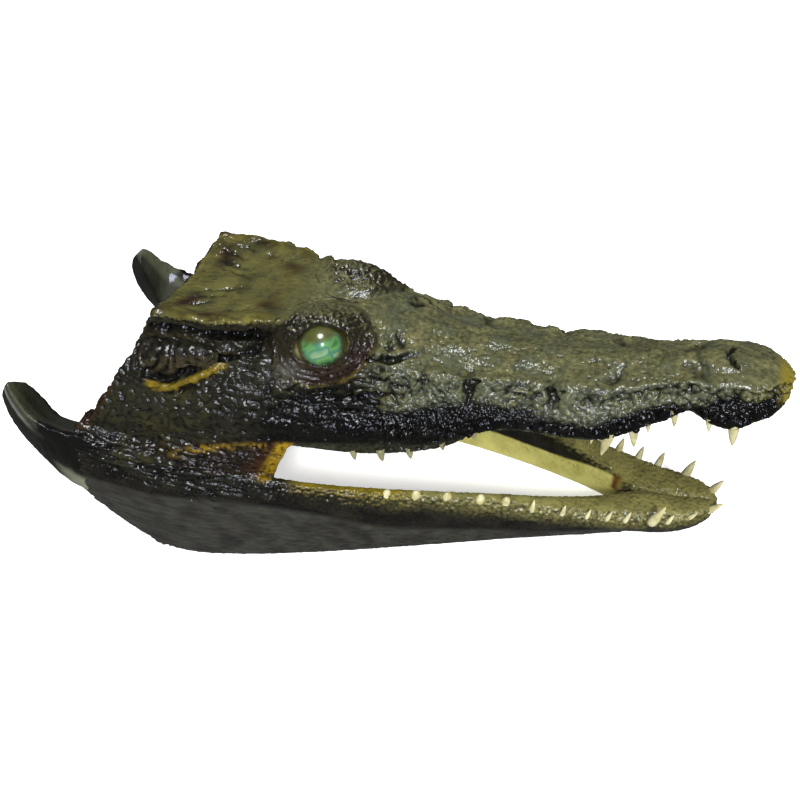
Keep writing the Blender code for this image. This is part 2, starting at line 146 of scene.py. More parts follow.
def hermite(wanted, places, values, slopes):
    """Reads a smooth curve, given by values and slopes at places along it."""
    i = np.clip(np.searchsorted(places, wanted, side="right") - 1, 0, len(places) - 2)
    step = places[i + 1] - places[i]
    t = (wanted - places[i]) / step
    rise = (3 - 2 * t) * t * t
    return (values[..., i] * (1 - rise) + values[..., i + 1] * rise
            + step * t * (1 - t) * (slopes[..., i] * (1 - t) - slopes[..., i + 1] * t))


def smooth(stations):
    """A smooth curve through (s, value) stations, flat beyond the first and last."""
    places, values = stations.T
    slopes = np.gradient(values, places)
    return lambda s: hermite(np.clip(s, places[0], places[-1]), places, values, slopes)


def curve(*stations):
    """The same through stations given in thousandths of the skull's length."""
    return smooth(np.array(stations) / 1000)


HEAD_WIDTH = curve((-28, 4), (-18, 34), (0, 56), (30, 74), (60, 84), (90, 83), (135, 70), (180, 81),
                   (230, 103), (280, 118), (340, 119), (400, 123), (500, 144), (600, 162),
                   (700, 176), (800, 197), (900, 214), (1000, 222))
LIP = curve((-28, 43), (-10, 22), (30, 10), (70, 2), (100, 10), (130, 23), (160, 8), (210, -2),
            (280, -10), (340, -6), (440, 8), (485, 4), (520, -13), (600, -27), (690, -27),
            (740, -14), (790, 2), (900, 10), (1000, 4))
CREST = curve((-28, 52), (-10, 68), (30, 80), (70, 84), (120, 82), (200, 78), (300, 80), (400, 90),
              (500, 107), (580, 134), (650, 160), (720, 176), (800, 193), (900, 206), (1000, 214))
EDGE_Y = curve((-28, 3), (0, 34), (70, 48), (130, 44), (200, 50), (300, 57), (400, 59), (500, 65),
               (600, 76), (660, 81), (720, 81), (790, 104), (870, 130), (1000, 138))
EDGE_RISE = curve((-28, -2), (0, -7), (70, -8), (200, -10), (300, -13), (400, -16), (500, -18),
                  (580, -14), (640, 6), (700, 24), (750, 16), (800, 8), (870, 4), (950, 8),
                  (1000, 18))
UNDERCUT = curve((-28, 320), (300, 340), (600, 360), (660, 420), (710, 430), (760, 340), (820, 0),
                 (880, -140), (1000, -140))
LEAN = curve((0, 0), (700, 0), (850, 50), (1000, 165))
LEAN_DEPTH = 0.19
HEAD_FRONT, HEAD_BACK = -0.028, 1.004

JAW_OUTER = curve((34, 10), (40, 24), (55, 43), (80, 61), (110, 75), (150, 85), (200, 95),
                  (280, 112), (360, 128), (450, 148), (550, 172), (650, 197), (750, 220),
                  (850, 241), (950, 256), (1050, 262), (1170, 258))
JAW_INNER = curve((34, 0), (175, 0), (200, 5), (225, 20), (260, 38), (310, 58), (440, 102),
                  (620, 150), (750, 181), (900, 204), (1050, 190), (1170, 168))
JAW_TOP = curve((34, -2), (50, 3), (100, -4), (200, -12), (300, -10), (450, -3), (600, -6),
                (750, -4), (850, 4), (1000, 12), (1080, 26), (1170, 40))
JAW_BOTTOM = curve((34, -26), (55, -50), (100, -72), (200, -93), (400, -131), (570, -168),
                   (750, -207), (900, -240), (960, -255), (1020, -263), (1080, -244), (1170, -184))
JAW_TUCK = curve((34, 300), (200, 400), (500, 400), (800, 300), (1170, 100))
JAW_TUCK_POWER, JAW_ROUNDING = 1.6, 0.72
JAW_FRONT, JAW_BACK = 0.034, 1.17
print("head is", round(2 * MM * HEAD_WIDTH(1.0)), "mm wide at the cheeks")

# %% Rings of points round the head and the jaw

def half_section(s):
    """Control points of the head's half section, from the palate round to the crest."""
    width, lip, crest, edge = HEAD_WIDTH(s), LIP(s), CREST(s), EDGE_Y(s)
    rise, brow, side = crest - lip, crest + EDGE_RISE(s), width - edge
    return [(0 * s, lip + 0.12 * rise), (0.60 * width, lip + 0.11 * rise),
            (0.88 * width, lip + 0.02 * rise), (0.97 * width, lip - 0.01 * rise),
            (width, lip + 0.10 * rise), (1.01 * width, lip + 0.30 * rise),
            (edge + 0.62 * side, lip + 0.58 * rise),
            (edge + UNDERCUT(s) * side, lip + 0.84 * rise),
            (edge, brow), (0.55 * edge, crest + 0.45 * EDGE_RISE(s)), (0 * s, crest)]


def through(points, steps):
    """Smooth curves through control points, one for each s, level at both ends."""
    controls = np.moveaxis(np.array(points), -1, 0)
    curves = np.zeros((len(controls), steps, 2))
    for row, control in enumerate(controls):
        chords = np.linalg.norm(np.diff(control, axis=0), axis=1) ** 0.7
        places = np.concatenate([[0], np.cumsum(chords + 1e-9)])
        slopes = np.gradient(control, places, axis=0)
        slopes[0, 1] = slopes[-1, 1] = 0
        curves[row] = hermite(np.linspace(0, places[-1], steps), places, control.T, slopes.T).T
    return curves


def head_rings(s, steps):
    half = through(half_section(s), steps)
    ring = np.concatenate([half * (-1, 1), half[:, -2:0:-1]], axis=1)
    drop = CREST(s)[:, None] - ring[..., 1]
    back = s[:, None] + LEAN(s)[:, None] * drop / LEAN_DEPTH
    return np.stack([back, ring[..., 0], ring[..., 1]], axis=-1)


def jaw_rings(s, steps, side):
    """Rings of one side of the jaw; at the chin the sides overlap and grow together."""
    outer, inner, top, low = (f(s)[:, None] for f in (JAW_OUTER, JAW_INNER, JAW_TOP, JAW_BOTTOM))
    angle = np.linspace(0, 2 * math.pi, steps, endpoint=False)[None, :] + math.pi / steps
    across = np.sign(np.cos(angle)) * np.abs(np.cos(angle)) ** JAW_ROUNDING
    height = (1 + np.sign(np.sin(angle)) * np.abs(np.sin(angle)) ** JAW_ROUNDING) / 2
    reach = outer - (1 - height) ** JAW_TUCK_POWER * JAW_TUCK(s)[:, None] * (outer - inner)
    y = inner + (reach - inner) * (1 + across) / 2
    y = np.where(inner < 0.002, y - 0.004, y)
    s, z = np.broadcast_to(s[:, None], y.shape), low + (top - low) * height
    return jaw_to_head(np.stack([s, side * y, z], axis=-1))


CORNER_FRONT, CORNER_BACK = 0.764, 1.10


def corner_span(place):
    """How high the skin at the corner of the mouth starts and ends."""
    return LIP(place) + 0.020, jaw_to_head((place + 0.02, 0, JAW_TOP(place) - 0.03))[2]


def corner_line(place, share):
    """Its stations from top to bottom: slanted, with a slightly hollow front edge."""
    top, under = corner_span(place)
    return place + 0.70 * (top - under) * share + 0.008 * np.sin(math.pi * share)


def corner_edge(z):
    """Where the skin at the corner of the mouth starts, at each height."""
    top, under = corner_span(CORNER_FRONT)
    return corner_line(CORNER_FRONT, np.clip((top - z) / (top - under), 0, 1))


def corner_rings(side):
    """The thin skin that closes the corner of the mouth; behind, it runs out to the jaw's face."""
    rings = []
    for place in np.linspace(CORNER_FRONT, CORNER_BACK, 30):
        outer, (top, under) = HEAD_WIDTH(place) - 0.004, corner_span(place)
        share = np.linspace(0, 1, 14)
        s = corner_line(place, share)
        to_jaw = np.clip((place - 0.79) / 0.08, 0, 1)
        slope = np.clip((share - 0.15) / 0.6, 0, 1)
        y = outer + (1 - to_jaw) * 0.016 * np.minimum(2 * share, 1)
        y += to_jaw * (JAW_OUTER(s) - 0.008 - outer) * slope * slope * (3 - 2 * slope)
        z = top + (under - top) * share
        edge = np.stack([s, side * y, z], axis=-1)
        inside = np.stack([s, side * (y - 0.014 - 0.016 * to_jaw), z], axis=-1)
        rings.append(np.concatenate([edge, inside[::-1]]))
    return np.array(rings)


print("one ring of the head has", head_rings(np.array([0.3]), 70).shape[1], "points")

# %% [markdown]
# ## One skin
# On the real head the skin runs without a break over snout, brow, cheek and jaw. The
# forms above are separate closed shapes that overlap. A voxel remesh reads them as
# clay pressed together: it keeps only the outside and makes one even mesh. Its voxel
# is fine enough for a wrinkle, and the mesh is then modelled further like clay.

# %% Closed shapes, pressed together
FINE_VOXEL = 0.00052
VOXEL = FINE_VOXEL


def mesh_object(name, points, faces):
    mesh = bpy.data.meshes.new(name)
    mesh.from_pydata([tuple(p) for p in points], [], faces)
    made = bpy.data.objects.new(name, mesh)
    bpy.context.scene.collection.objects.link(made)
    return made


def ring_faces(count, around, first=0):
    """Quads between rings of points, and a face to close each end."""
    index = np.arange(count * around).reshape(count, around) + first
    quads = np.stack([index[:-1], np.roll(index[:-1], -1, 1), np.roll(index[1:], -1, 1), index[1:]], -1)
    return quads.reshape(-1, 4).tolist() + [index[0][::-1].tolist(), index[-1].tolist()]


def tube(name, rings):
    """A closed tube through rings of points given in the head's frame."""
    return mesh_object(name, head_to_world(rings).reshape(-1, 3), ring_faces(*rings.shape[:2]))


def egg(name, centre, radii, tilt=0.0):
    """A closed ellipsoid in the head's frame, radii in shares; a tilt leans its top forward."""
    around, along = np.linspace(0, 2 * math.pi, 48, endpoint=False), np.linspace(0, math.pi, 26)[1:-1]
    x = np.cos(along)[:, None] * np.ones(48)
    y = np.sin(along)[:, None] * np.cos(around)
    z = np.sin(along)[:, None] * np.sin(around)
    form = np.stack([-x * radii[0], y * radii[1], z * radii[2]], axis=-1)
    spin = np.array(Matrix.Rotation(-tilt, 3, "Y"))
    return tube(name, np.array(centre) + form @ spin.T)


def store(target, name, values):
    """Keeps a number for each point of a mesh, for its material to read."""
    layer = target.data.attributes.new(name, "FLOAT", "POINT")
    layer.data.foreach_set("value", np.array(values, np.float32).ravel())


def bake(target):
    """Replaces an object's mesh by what its modifiers make of it."""
    depsgraph = bpy.context.evaluated_depsgraph_get()
    target.data = bpy.data.meshes.new_from_object(target.evaluated_get(depsgraph))
    target.modifiers.clear()


skin = tube("skin", head_rings(np.linspace(HEAD_FRONT, HEAD_BACK, 340), 72))
OCCIPUT_TILT = math.radians(38)
hollows = [egg("dish", (1.083, 0, 0.105), (0.042, 0.145, 0.085), OCCIPUT_TILT),
           egg("spinal_opening", (1.045, 0, 0.122), (0.070, 0.022, 0.018), OCCIPUT_TILT)]
for hollow in hollows:
    cut = skin.modifiers.new(hollow.name, "BOOLEAN")
    cut.operation, cut.object = "DIFFERENCE", hollow
bake(skin)
for hollow in hollows:
    bpy.data.objects.remove(hollow, do_unlink=True)

lumps = [egg("condyle", (1.066, 0, 0.086), (0.040, 0.024, 0.022), OCCIPUT_TILT)]
for side in (-1, 1):
    lumps.append(tube("jaw", jaw_rings(np.linspace(JAW_FRONT, JAW_BACK, 300), 72, side)))
    lumps.append(tube("corner", corner_rings(side)))
    lumps.append(egg("ear_lid", (0.966, side * 0.149, 0.149), (0.082, 0.026, 0.030), math.radians(-4)))
    lumps.append(egg("lids", EYE * (1, side, 1), (EYE_RADIUS / SKULL + 0.0046,) * 3))
with bpy.context.temp_override(active_object=skin, selected_editable_objects=[skin] + lumps):
    bpy.ops.object.join()
remesh = skin.modifiers.new("remesh", "REMESH")
remesh.mode, remesh.voxel_size = "VOXEL", VOXEL
soften = skin.modifiers.new("soften", "SMOOTH")
soften.factor, soften.iterations = 0.5, round(6 * 0.0005 / VOXEL) + 2
bake(skin)
print("skin has", len(skin.data.polygons), "faces")

# %% [markdown]
# ## Modelling tools
# The skin is modelled the way a sculptor works clay: strokes for creases and folds,
# swells for lumps, and a texture tool for pebbles and wrinkles. Each tool works out,
# for every point of the skin at once, how far it is from the stroke. Points are
# mirrored (|y|), so each stroke is drawn once and falls on both sides. Its path is in
# thousandths of the skull, and its width and depth are in millimetres.

# %% The clay and its tools

class Clay:
    """Points and normals of the skin, with the mirrored head and jaw frames."""

    def __init__(self, target):
        self.mesh = target.data
        count = len(self.mesh.vertices)
        self.points = np.empty(count * 3)
        self.mesh.vertices.foreach_get("co", self.points)
        self.points = self.points.reshape(-1, 3)
        pairs = np.empty(len(self.mesh.edges) * 2, int)
        self.mesh.edges.foreach_get("vertices", pairs)
        self.pairs = pairs.reshape(-1, 2)
        self.valence = np.bincount(pairs, minlength=count)
        self.refresh()

    def refresh(self):
        self.mesh.vertices.foreach_set("co", self.points.ravel())
        self.mesh.update()
        self.normals = np.empty(self.points.size)
        self.mesh.vertex_normals.foreach_get("vector", self.normals)
        self.normals = self.normals.reshape(-1, 3)
        self.head = world_to_head(self.points)
        self.side = np.where(self.head[:, 1] < 0, -1.0, 1.0)
        self.head[:, 1] *= self.side
        self.jaw = head_to_jaw(self.head)
        self.ahead, self.out, self.up = (self.normals @ TURN).T
        self.out = self.out * self.side

    def push(self, millimetres):
        """Moves each point along its normal."""
        self.points = self.points + self.normals * (np.asarray(millimetres) / 1000)[:, None]

    def slide(self, forward, out, up):
        """Moves each point by millimetres in the head's own directions."""
        step = np.stack(np.broadcast_arrays(forward, out, up), axis=-1) / 1000.0
        step[:, 1] *= self.side
        self.points = self.points + step @ TURN.T

    def melt(self, mask, rounds):
        """Smooths the shape where the mask is, as a wet thumb does."""
        chosen = np.flatnonzero(mask > 0.01)
        place = np.full(len(mask), -1)
        place[chosen] = np.arange(len(chosen))
        a, b = place[self.pairs].T
        a, b = a[(a >= 0) & (b >= 0)], b[(a >= 0) & (b >= 0)]
        count, moved, weight = len(chosen), self.points[chosen], 0.5 * mask[chosen, None]
        links = np.maximum(np.bincount(a, minlength=count) + np.bincount(b, minlength=count), 1)[:, None]
        for _ in range(rounds):
            total = [np.bincount(a, moved[b, k], count)
                     + np.bincount(b, moved[a, k], count) for k in range(3)]
            moved += weight * (np.stack(total, axis=-1) / links - moved)
        self.points[chosen] = moved

    def blur(self, values, rounds=1):
        """Averages values with their neighbours' along the edges."""
        a, b = self.pairs.T
        for _ in range(rounds):
            total = (np.bincount(a, values[b], len(values)) + np.bincount(b, values[a], len(values)))
            values = 0.5 * values + 0.5 * total / self.valence
        return values


def fade(low, high, value):
    """0 below low, 1 above high and a smooth ramp between; works downwards too."""
    t = np.clip((value - low) / (high - low), 0, 1)
    return t * t * (3 - 2 * t)


def bell(distance, width):
    return np.exp(-(distance / width) ** 2)


def along(points, path):
    """Distance in millimetres from a path through (s, y, z) places, and the share along it."""
    path = path * MM
    where = points * MM
    best, share = np.full(len(where), 1e9), np.zeros(len(where))
    steps = np.linalg.norm(np.diff(path, axis=0), axis=1)
    starts = np.concatenate([[0], np.cumsum(steps)])
    for i, (a, b) in enumerate(zip(path, path[1:])):
        t = np.clip((where - a) @ (b - a) / steps[i] ** 2, 0, 1)
        gap = np.linalg.norm(where - a - t[:, None] * (b - a), axis=1)
        closer = gap < best
        best = np.where(closer, gap, best)
        share = np.where(closer, (starts[i] + t * steps[i]) / starts[-1], share)
    return best, share


def stroke(points, path, taper):
    """Distance from a path, and a factor that runs out to 0 at its ends."""
    gap, share = along(points, path)
    return gap, fade(0, taper, share) * fade(1, 1 - taper, share)


def crease(points, path, width, depth, taper=0.12):
    """A valley (or with a negative depth a ridge) along a path; sharp at its bottom."""
    gap, ends = stroke(points, path, taper)
    return -depth * np.exp(-gap / (0.5 * width)) * ends


def fold(points, path, width, height, taper=0.12):
    """A rounded roll of skin along a path."""
    gap, ends = stroke(points, path, taper)
    return height * np.clip(1 - (gap / width) ** 2, 0, 1) ** 1.2 * ends


def loop(*places):
    """A path through (s, y, z) places, given in thousandths of the skull's length."""
    return np.array(places) / 1000


def spot(points, centre, radii):
    """1 at a place, falling off like a bell; centre and radii in thousandths."""
    away = (points - np.array(centre) / 1000) / (np.array(radii) / 1000)
    return np.exp(-np.sum(away ** 2, axis=1))


clay = Clay(skin)
print("clay has", len(clay.points), "points")

# %% [markdown]
# ### Noise and cells
# Skin has no straight or even lines. Smooth noise gives swells and wrinkles when it
# is stretched, and scattered cells give pebbles, like those that dried crocodile skin
# shows on lips and cheeks. Both come from a repeatable scatter, so each run is equal.

# %% Scatter, noise and cells
WEAVE = np.array((374761393, 668265263, 961748941))


def scatter(cell, seed):
    """Three repeatable random numbers from 0 to 1 for each whole-numbered cell."""
    mixed = cell[:, 0] * WEAVE[0] + cell[:, 1] * WEAVE[1] + cell[:, 2] * WEAVE[2] + seed * 1013904223
    mixed = (mixed ^ (mixed >> 31)) * 0x7FB5D329728EA185
    mixed = (mixed ^ (mixed >> 27)) * 0x1B03738712FAD5C9
    mixed ^= mixed >> 32
    return [((mixed >> shift) & 0x7FFF) / 0x7FFF for shift in (0, 15, 30)]


def noise(points, seed=0):
    """Smooth noise from about -1 to 1, with one swell to a unit of length."""
    base = np.floor(points).astype(np.int64)
    inside = points - base
    ease = inside ** 3 * (inside * (inside * 6 - 15) + 10)
    total = np.zeros(len(points))
    for corner in itertools.product((0, 1), repeat=3):
        weight, lean = 1.0, 0.0
        for axis, slope in enumerate(scatter(base + corner, seed)):
            weight = weight * (ease[:, axis] if corner[axis] else 1 - ease[:, axis])
            lean = lean + (slope * 2 - 1) * (inside[:, axis] - corner[axis])
        total += weight * lean
    return total * 1.5


def cells(points, seed=0):
    """Distances to the nearest and to the next seed of a scatter."""
    base = np.floor(points).astype(np.int64)
    near, second = np.full(len(points), 9.0), np.full(len(points), 9.0)
    for offset in itertools.product((-1, 0, 1), repeat=3):
        places = scatter(base + offset, seed)
        reach = sum((base[:, k] + offset[k] + places[k] - points[:, k]) ** 2 for k in range(3))
        second = np.where(reach < near, near, np.minimum(second, reach))
        near = np.minimum(near, reach)
    return np.sqrt(near), np.sqrt(second)


def texture(tool, where, size, seed, mask=None):
    """Noise or cells at a size in mm (one number, or one for each of s, y, z)."""
    scaled = where * MM / np.array(size)
    if mask is None:
        return tool(scaled, seed)
    chosen = mask > 0.01
    found = tool(scaled[chosen], seed)
    results = []
    for values in found if isinstance(found, tuple) else (found,):
        full = np.zeros(len(where))
        full[chosen] = values
        results.append(full)
    return results if isinstance(found, tuple) else results[0]


def wander(where, millimetres, size, seed):
    """The same places, each pushed about a little, so that strokes aren't ruler-drawn."""
    drift = [texture(noise, where, size, seed + 7 * axis) for axis in range(3)]
    return where + millimetres / MM * np.stack(drift, axis=-1)


def head_noise(size, seed, mask=None, drift=None):
    """Noise over the head; drift (mm, size, seed) keeps its lines from being straight."""
    return texture(noise, clay.head if drift is None else wander(clay.head, *drift), size, seed, mask)


def valley(values, sharpness):
    """1 along the lines where noise crosses zero, falling off beside them."""
    return np.exp(-np.abs(values) * sharpness)


print("noise test", noise(np.array([[0.5, 0.5, 0.5]]), 1).round(3))

# %% [markdown]
# ## Where is what
# A few masks say which part of the head a point belongs to. The jaw is what lies
# below the gap of the mouth. The station is the place of a point's ring, because the
# rings lean back behind the skull table.

# %% Regions of the head

def regions():
    """Masks for the jaw and the leaning stations."""
    s, y, z = clay.head.T
    js, jy, jz = clay.jaw.T
    station = s.copy()
    for _ in range(3):
        station = s - LEAN(station) * (CREST(station) - z) / LEAN_DEPTH
    jaw_top = jaw_to_head(np.stack([js, jy, JAW_TOP(js)], axis=-1))[:, 2]
    split = np.where(s < 0.80, (jaw_top + LIP(s)) / 2, LIP(s) - 0.004 - 0.02 * fade(0.8, 0.85, s))
    jaw = fade(0.004, -0.004, z - split) * fade(1.30, 1.10, station)
    jaw = np.where((js > 1.09) & (jz < 0.03) & (y > 0.15), 1.0, jaw)
    return s, y, z, js, jy, jz, station, jaw


s, y, z, js, jy, jz, station, jaw = regions()
upper = 1 - jaw
top = fade(0.25, 0.75, clay.up)
under_edge = fade(-0.012, -0.022, z - CREST(station) - EDGE_RISE(station)) * fade(0.095, 0.110, y)
beyond_edge = np.maximum(fade(-0.002, 0.008, y - EDGE_Y(station)), under_edge) * fade(0.74, 0.80, s) * upper
front_edge = corner_edge(z)
joined = (fade(0.008, 0.035, s - front_edge) * fade(0.030, 0.012, z - LIP(s))
          * fade(-0.045, -0.015, jz - JAW_TOP(js))
          * fade(1.22, 1.14, s) * fade(-0.045, -0.025, y - HEAD_WIDTH(s)))
clay.melt(joined, round(90 * (FINE_VOXEL / VOXEL) ** 2) + 10)
clay.refresh()
print("jaw share of the skin", round(float(jaw.mean()), 3))

# %% [markdown]
# ## The eye's surroundings
# A crocodile's eye sits in a raised ring of skin under a brow. The lids wrap the ball
# closely, with folds below it, and the opening is an almond about 25 mm long. The
# directions are set at the ball: its axis looks out, up and a little forward. Points
# inside the almond are pressed back under the ball, so that the ball shows there.

# %% Orbit, lids and brow
EYE_AXIS = np.array((0.34, 0.78, 0.53))
EYE_AXIS /= np.linalg.norm(EYE_AXIS)
EYE_ACROSS = np.cross(EYE_AXIS, (0, 0, 1))
EYE_ACROSS /= -np.linalg.norm(EYE_ACROSS)
EYE_RISE = np.cross(EYE_AXIS, EYE_ACROSS)
EYE_RISE *= np.sign(EYE_RISE[2])
EYE_ACROSS *= np.sign(EYE_ACROSS[0])
ALMOND = (12.4, 9.0)                # half length and half height of the opening, mm
ORBIT = (22.0, 17.0)                # the same for the ring round it
TUCK, TUCK_FLOOR = 1.6, 4.2         # mm: skin lies this far under the ball's face, but no lower than this
FAR_OFF = 9.0                       # ring and almond of a point that isn't near the eye
BALL = EYE_RADIUS * 1000


def eye_plane():
    """Each point from the ball's centre: across, up and out along its axis, in mm."""
    away = (clay.head - EYE) * (-1, 1, 1) * MM
    return away @ EYE_ACROSS, away @ EYE_RISE, away @ EYE_AXIS


across, rise, depth = eye_plane()
near_eye = (np.hypot(across, rise) < 32) & (depth > -12) & (depth < 20)
ring = np.where(near_eye, np.hypot(across / ORBIT[0], rise / ORBIT[1]), FAR_OFF)
lens = (np.abs(across / ALMOND[0]) ** 1.6 + np.abs(rise / ALMOND[1]) ** 1.6) ** 0.625
almond = np.where(near_eye, lens, FAR_OFF)
around = np.arctan2(rise / ORBIT[1], across / ORBIT[0])
below = fade(0.2, -0.5, np.sin(around))
above = fade(-0.3, 0.3, np.sin(around))

uneven_ring = ring + np.where(near_eye, 0.045 * head_noise(5.0, 57), 0)
in_front = fade(-0.2, 0.5, np.cos(around))
lift = 1.2 * bell(uneven_ring - 1.0, 0.05) * (0.2 + 0.8 * above)
lift -= 1.5 * bell(uneven_ring - 1.13, 0.06) * np.maximum(above, in_front * (1 - below))
lift -= 0.7 * bell(uneven_ring - 0.86, 0.08) * above
lift += 0.7 * bell(almond - 1.10, 0.06)
folds_below = np.cos((uneven_ring - 0.60) * 2 * math.pi / 0.13)
lift += 0.42 * folds_below * fade(0.54, 0.62, ring) * fade(1.04, 0.94, ring) * below
clay.slide(*(lift * part for part in EYE_AXIS))

across, rise, depth = eye_plane()
ball = np.sqrt(np.clip(BALL ** 2 - across ** 2 - rise ** 2, 0, None))
pressed = np.maximum(ball - TUCK, TUCK_FLOOR)
inside = fade(1.02, 0.96, almond)
sink = np.where(depth > pressed, (pressed - depth) * inside, 0)
clay.slide(*(sink * part for part in EYE_AXIS))
clay.refresh()
print("points pressed under the eyeball:", int((sink < -0.5).sum()))

# %% [markdown]
# ## Folds and furrows
# The skin shrank over bone as it dried. It left a deep groove under the edge of the
# skull table, where the ear is, a pale roll of skin below the ear lid, long folds on
# the cheek below the eye, and a sharp furrow in front of it. Each is one stroke.

# %% Strokes on the upper head
TABLE_GROOVE = loop((1010, 132, 196), (955, 130, 196), (926, 125, 188), (896, 122, 181),
                    (853, 117, 176), (808, 112, 174))
EAR_UNDER = loop((1039, 165, 145), (1018, 180, 133), (989, 183, 129), (961, 179, 131),
                 (936, 168, 137), (905, 154, 144), (875, 140, 148), (844, 128, 151), (810, 120, 157))
PALE_ROLL = loop((1022, 188, 127), (1003, 192, 119), (979, 193, 116), (955, 189, 119),
                 (933, 182, 125), (901, 168, 133), (882, 156, 139), (867, 150, 142))
ROLL_UNDER = loop((1000, 200, 108), (960, 198, 108), (922, 185, 119), (889, 171, 129),
                  (859, 156, 134))
FURROW = loop((668, 117, 141), (640, 112, 138), (609, 99, 128), (591, 90, 121), (579, 76, 116),
              (560, 66, 109), (540, 60, 104))
CHEEK_CREASES = (
    loop((735, 150, 88), (701, 141, 91), (679, 136, 93), (662, 132, 98), (648, 126, 108)),
    loop((745, 158, 80), (708, 153, 77), (683, 150, 74), (662, 146, 72), (642, 139, 76),
         (617, 137, 70), (590, 130, 72)),
    loop((703, 163, 64), (678, 160, 61), (641, 149, 63), (604, 140, 63)),
    loop((640, 127, 103), (624, 124, 100), (600, 120, 96)))
SNOUT_CREASES = (
    loop((606, 33, 142), (591, 55, 129), (577, 68, 117)),
    loop((486, 56, 81), (475, 96, 80), (475, 113, 58)),
    loop((412, 84, 78), (392, 82, 74), (375, 70, 68)),
    loop((214, 19, 74), (240, 42, 65), (265, 75, 64), (275, 90, 55)),
    loop((155, 18, 76), (130, 25, 75), (107, 40, 70), (87, 59, 72)))
TABLE_CREASES = (
    loop((985, 50, 216), (922, 26, 209), (860, 6, 203)),
    loop((990, 70, 220), (935, 48, 211), (885, 33, 206)),
    loop((985, 95, 220), (945, 78, 213), (910, 62, 209)),
    loop((975, 112, 218), (930, 100, 212), (895, 84, 208)),
    loop((900, 98, 208), (860, 80, 202), (820, 66, 197)))

DENTS = ((3.2, (340, 86, 60), (13, 30, 26)), (2.2, (470, 112, 68), (10, 30, 30)),
         (1.8, (548, 105, 85), (10, 30, 22)), (1.8, (602, 80, 135), (12, 20, 14)))
SWELLS = ((1.0, (300, 60, 70), (60, 30, 20)), (0.9, (420, 55, 80), (60, 30, 20)))
BROW_SWELLS = ((-2.4, (622, 75, 150), (32, 30, 40)), (-1.2, (775, 85, 200), (22, 30, 30)),
               (0.9, (722, 74, 206), (22, 24, 30)), (-2.0, (1010, 145, 235), (30, 30, 30)))

loose_places = wander(wander(clay.head, 1.3, 7.0, 81), 0.6, 2.5, 91)
strokes = fold(loose_places, TABLE_GROOVE, 3.6, -4.4, 0.06)
strokes += fold(loose_places, EAR_UNDER, 2.4, -3.0, 0.1)
strokes += fold(wander(clay.head, 0.6, 5.0, 85), PALE_ROLL, 2.2, 1.3, 0.3)
strokes += crease(loose_places, ROLL_UNDER, 2.2, 1.6, 0.3)
strokes += fold(wander(clay.head, 1.4, 5.0, 88), FURROW, 2.4, -3.4, 0.5)
for path in CHEEK_CREASES:
    strokes += crease(loose_places, path, 2.8, 2.6, 0.4)
for path in SNOUT_CREASES:
    strokes += fold(loose_places, path, 4.0, -1.8, 0.4)
for path in TABLE_CREASES:
    strokes += crease(loose_places, path, 2.6, 1.5, 0.4)
for dent, centre, radii in DENTS:
    strokes -= dent * spot(loose_places, centre, radii)
for swell, centre, radii in SWELLS:
    strokes += swell * spot(clay.head, centre, radii)
on_edge = (bell(clay.head[:, 1] - EDGE_Y(station) + 0.006, 0.020) * fade(0.76, 0.82, s)
           * fade(0.178, 0.188, z) * top * upper)
strokes += 2.0 * np.clip(head_noise((8.0, 5.0, 5.0), 87) + 0.2, 0, 1) * on_edge
clay.push(strokes * upper)

brow_dip = sum(swell * spot(clay.head, centre, radii) for swell, centre, radii in BROW_SWELLS)
torn = 2.2 * head_noise((30, 9, 9), 88) * fade(0.93, 1.0, station) * upper
torn -= 2.2 * bell(y - 0.100, 0.045) * fade(0.93, 1.0, station) * fade(0.15, 0.18, z) * upper
clay.slide(torn, 0, brow_dip * upper)
clay.refresh()
print("deepest stroke", round(float(strokes.min()), 2), "mm")

# %% [markdown]
# ## The nostrils
# They open in a low round boss on the top of the snout, as two slits close to the
# midline, with a groove round the boss.

# %% Nostril boss and slits
BOSS_MIDDLE, BOSS_LENGTH, BOSS_WIDTH = 0.076, 0.043, 0.036
boss_reach = np.hypot((clay.head[:, 0] - BOSS_MIDDLE) / BOSS_LENGTH, clay.head[:, 1] / BOSS_WIDTH)
on_top = fade(0.045, 0.06, clay.head[:, 2]) * upper
boss = 0.9 * fade(1.05, 0.70, boss_reach) - 0.3 * bell(boss_reach - 1.06, 0.10)
NOSTRIL = loop((73, 5, 84), (69, 12, 84), (65, 19, 84), (59, 25, 82))
gap, _ = along(wander(clay.head, 0.4, 2.5, 95), NOSTRIL)
slit = fade(1.5, 0.6, gap) * on_top
boss -= 3.4 * slit
boss -= crease(clay.head, loop((118, 0, 84), (95, 2, 84)), 1.2, -0.5)
clay.push(boss * on_top)
clay.refresh()
print("boss is", round(2 * BOSS_LENGTH * MM), "mm long")

# %% [markdown]
# ## The lower jaw
# Its outer face is drawn tight and smooth below, and above it the skin lies in long
# wrinkles that run together towards the jaw joint. A ragged scrap of skin is left at
# the rear lower corner.

# %% Wrinkles and the ragged edge of the jaw
s, y, z, js, jy, jz, station, jaw = regions()
BAND_EDGE = curve((0, -20), (200, -30), (300, -66), (450, -78), (600, -86), (720, -64), (900, -50),
                  (1000, -66), (1150, -74))
band = jaw * fade(-0.012, 0.004, jz - BAND_EDGE(js))
outside = fade(0.1, 0.5, clay.out)
stretched = np.stack([js / 26, jy / 4, jz / 1.9], axis=-1) * MM
long_wrinkles = noise(stretched, 11)
rear = fade(0.70, 1.0, js)
wrinkle = -valley(long_wrinkles, 9) * (0.35 + 1.1 * rear)
JAW_RIDGE = loop((1030, 256, -52), (948, 250, -36), (889, 242, -32), (800, 225, -30))
ridge_gap, _ = along(clay.jaw, JAW_RIDGE)
shape = 1.3 * wrinkle * band * outside + 2.0 * bell(ridge_gap, 1.3) * jaw * (0.6 + 0.4 * long_wrinkles)
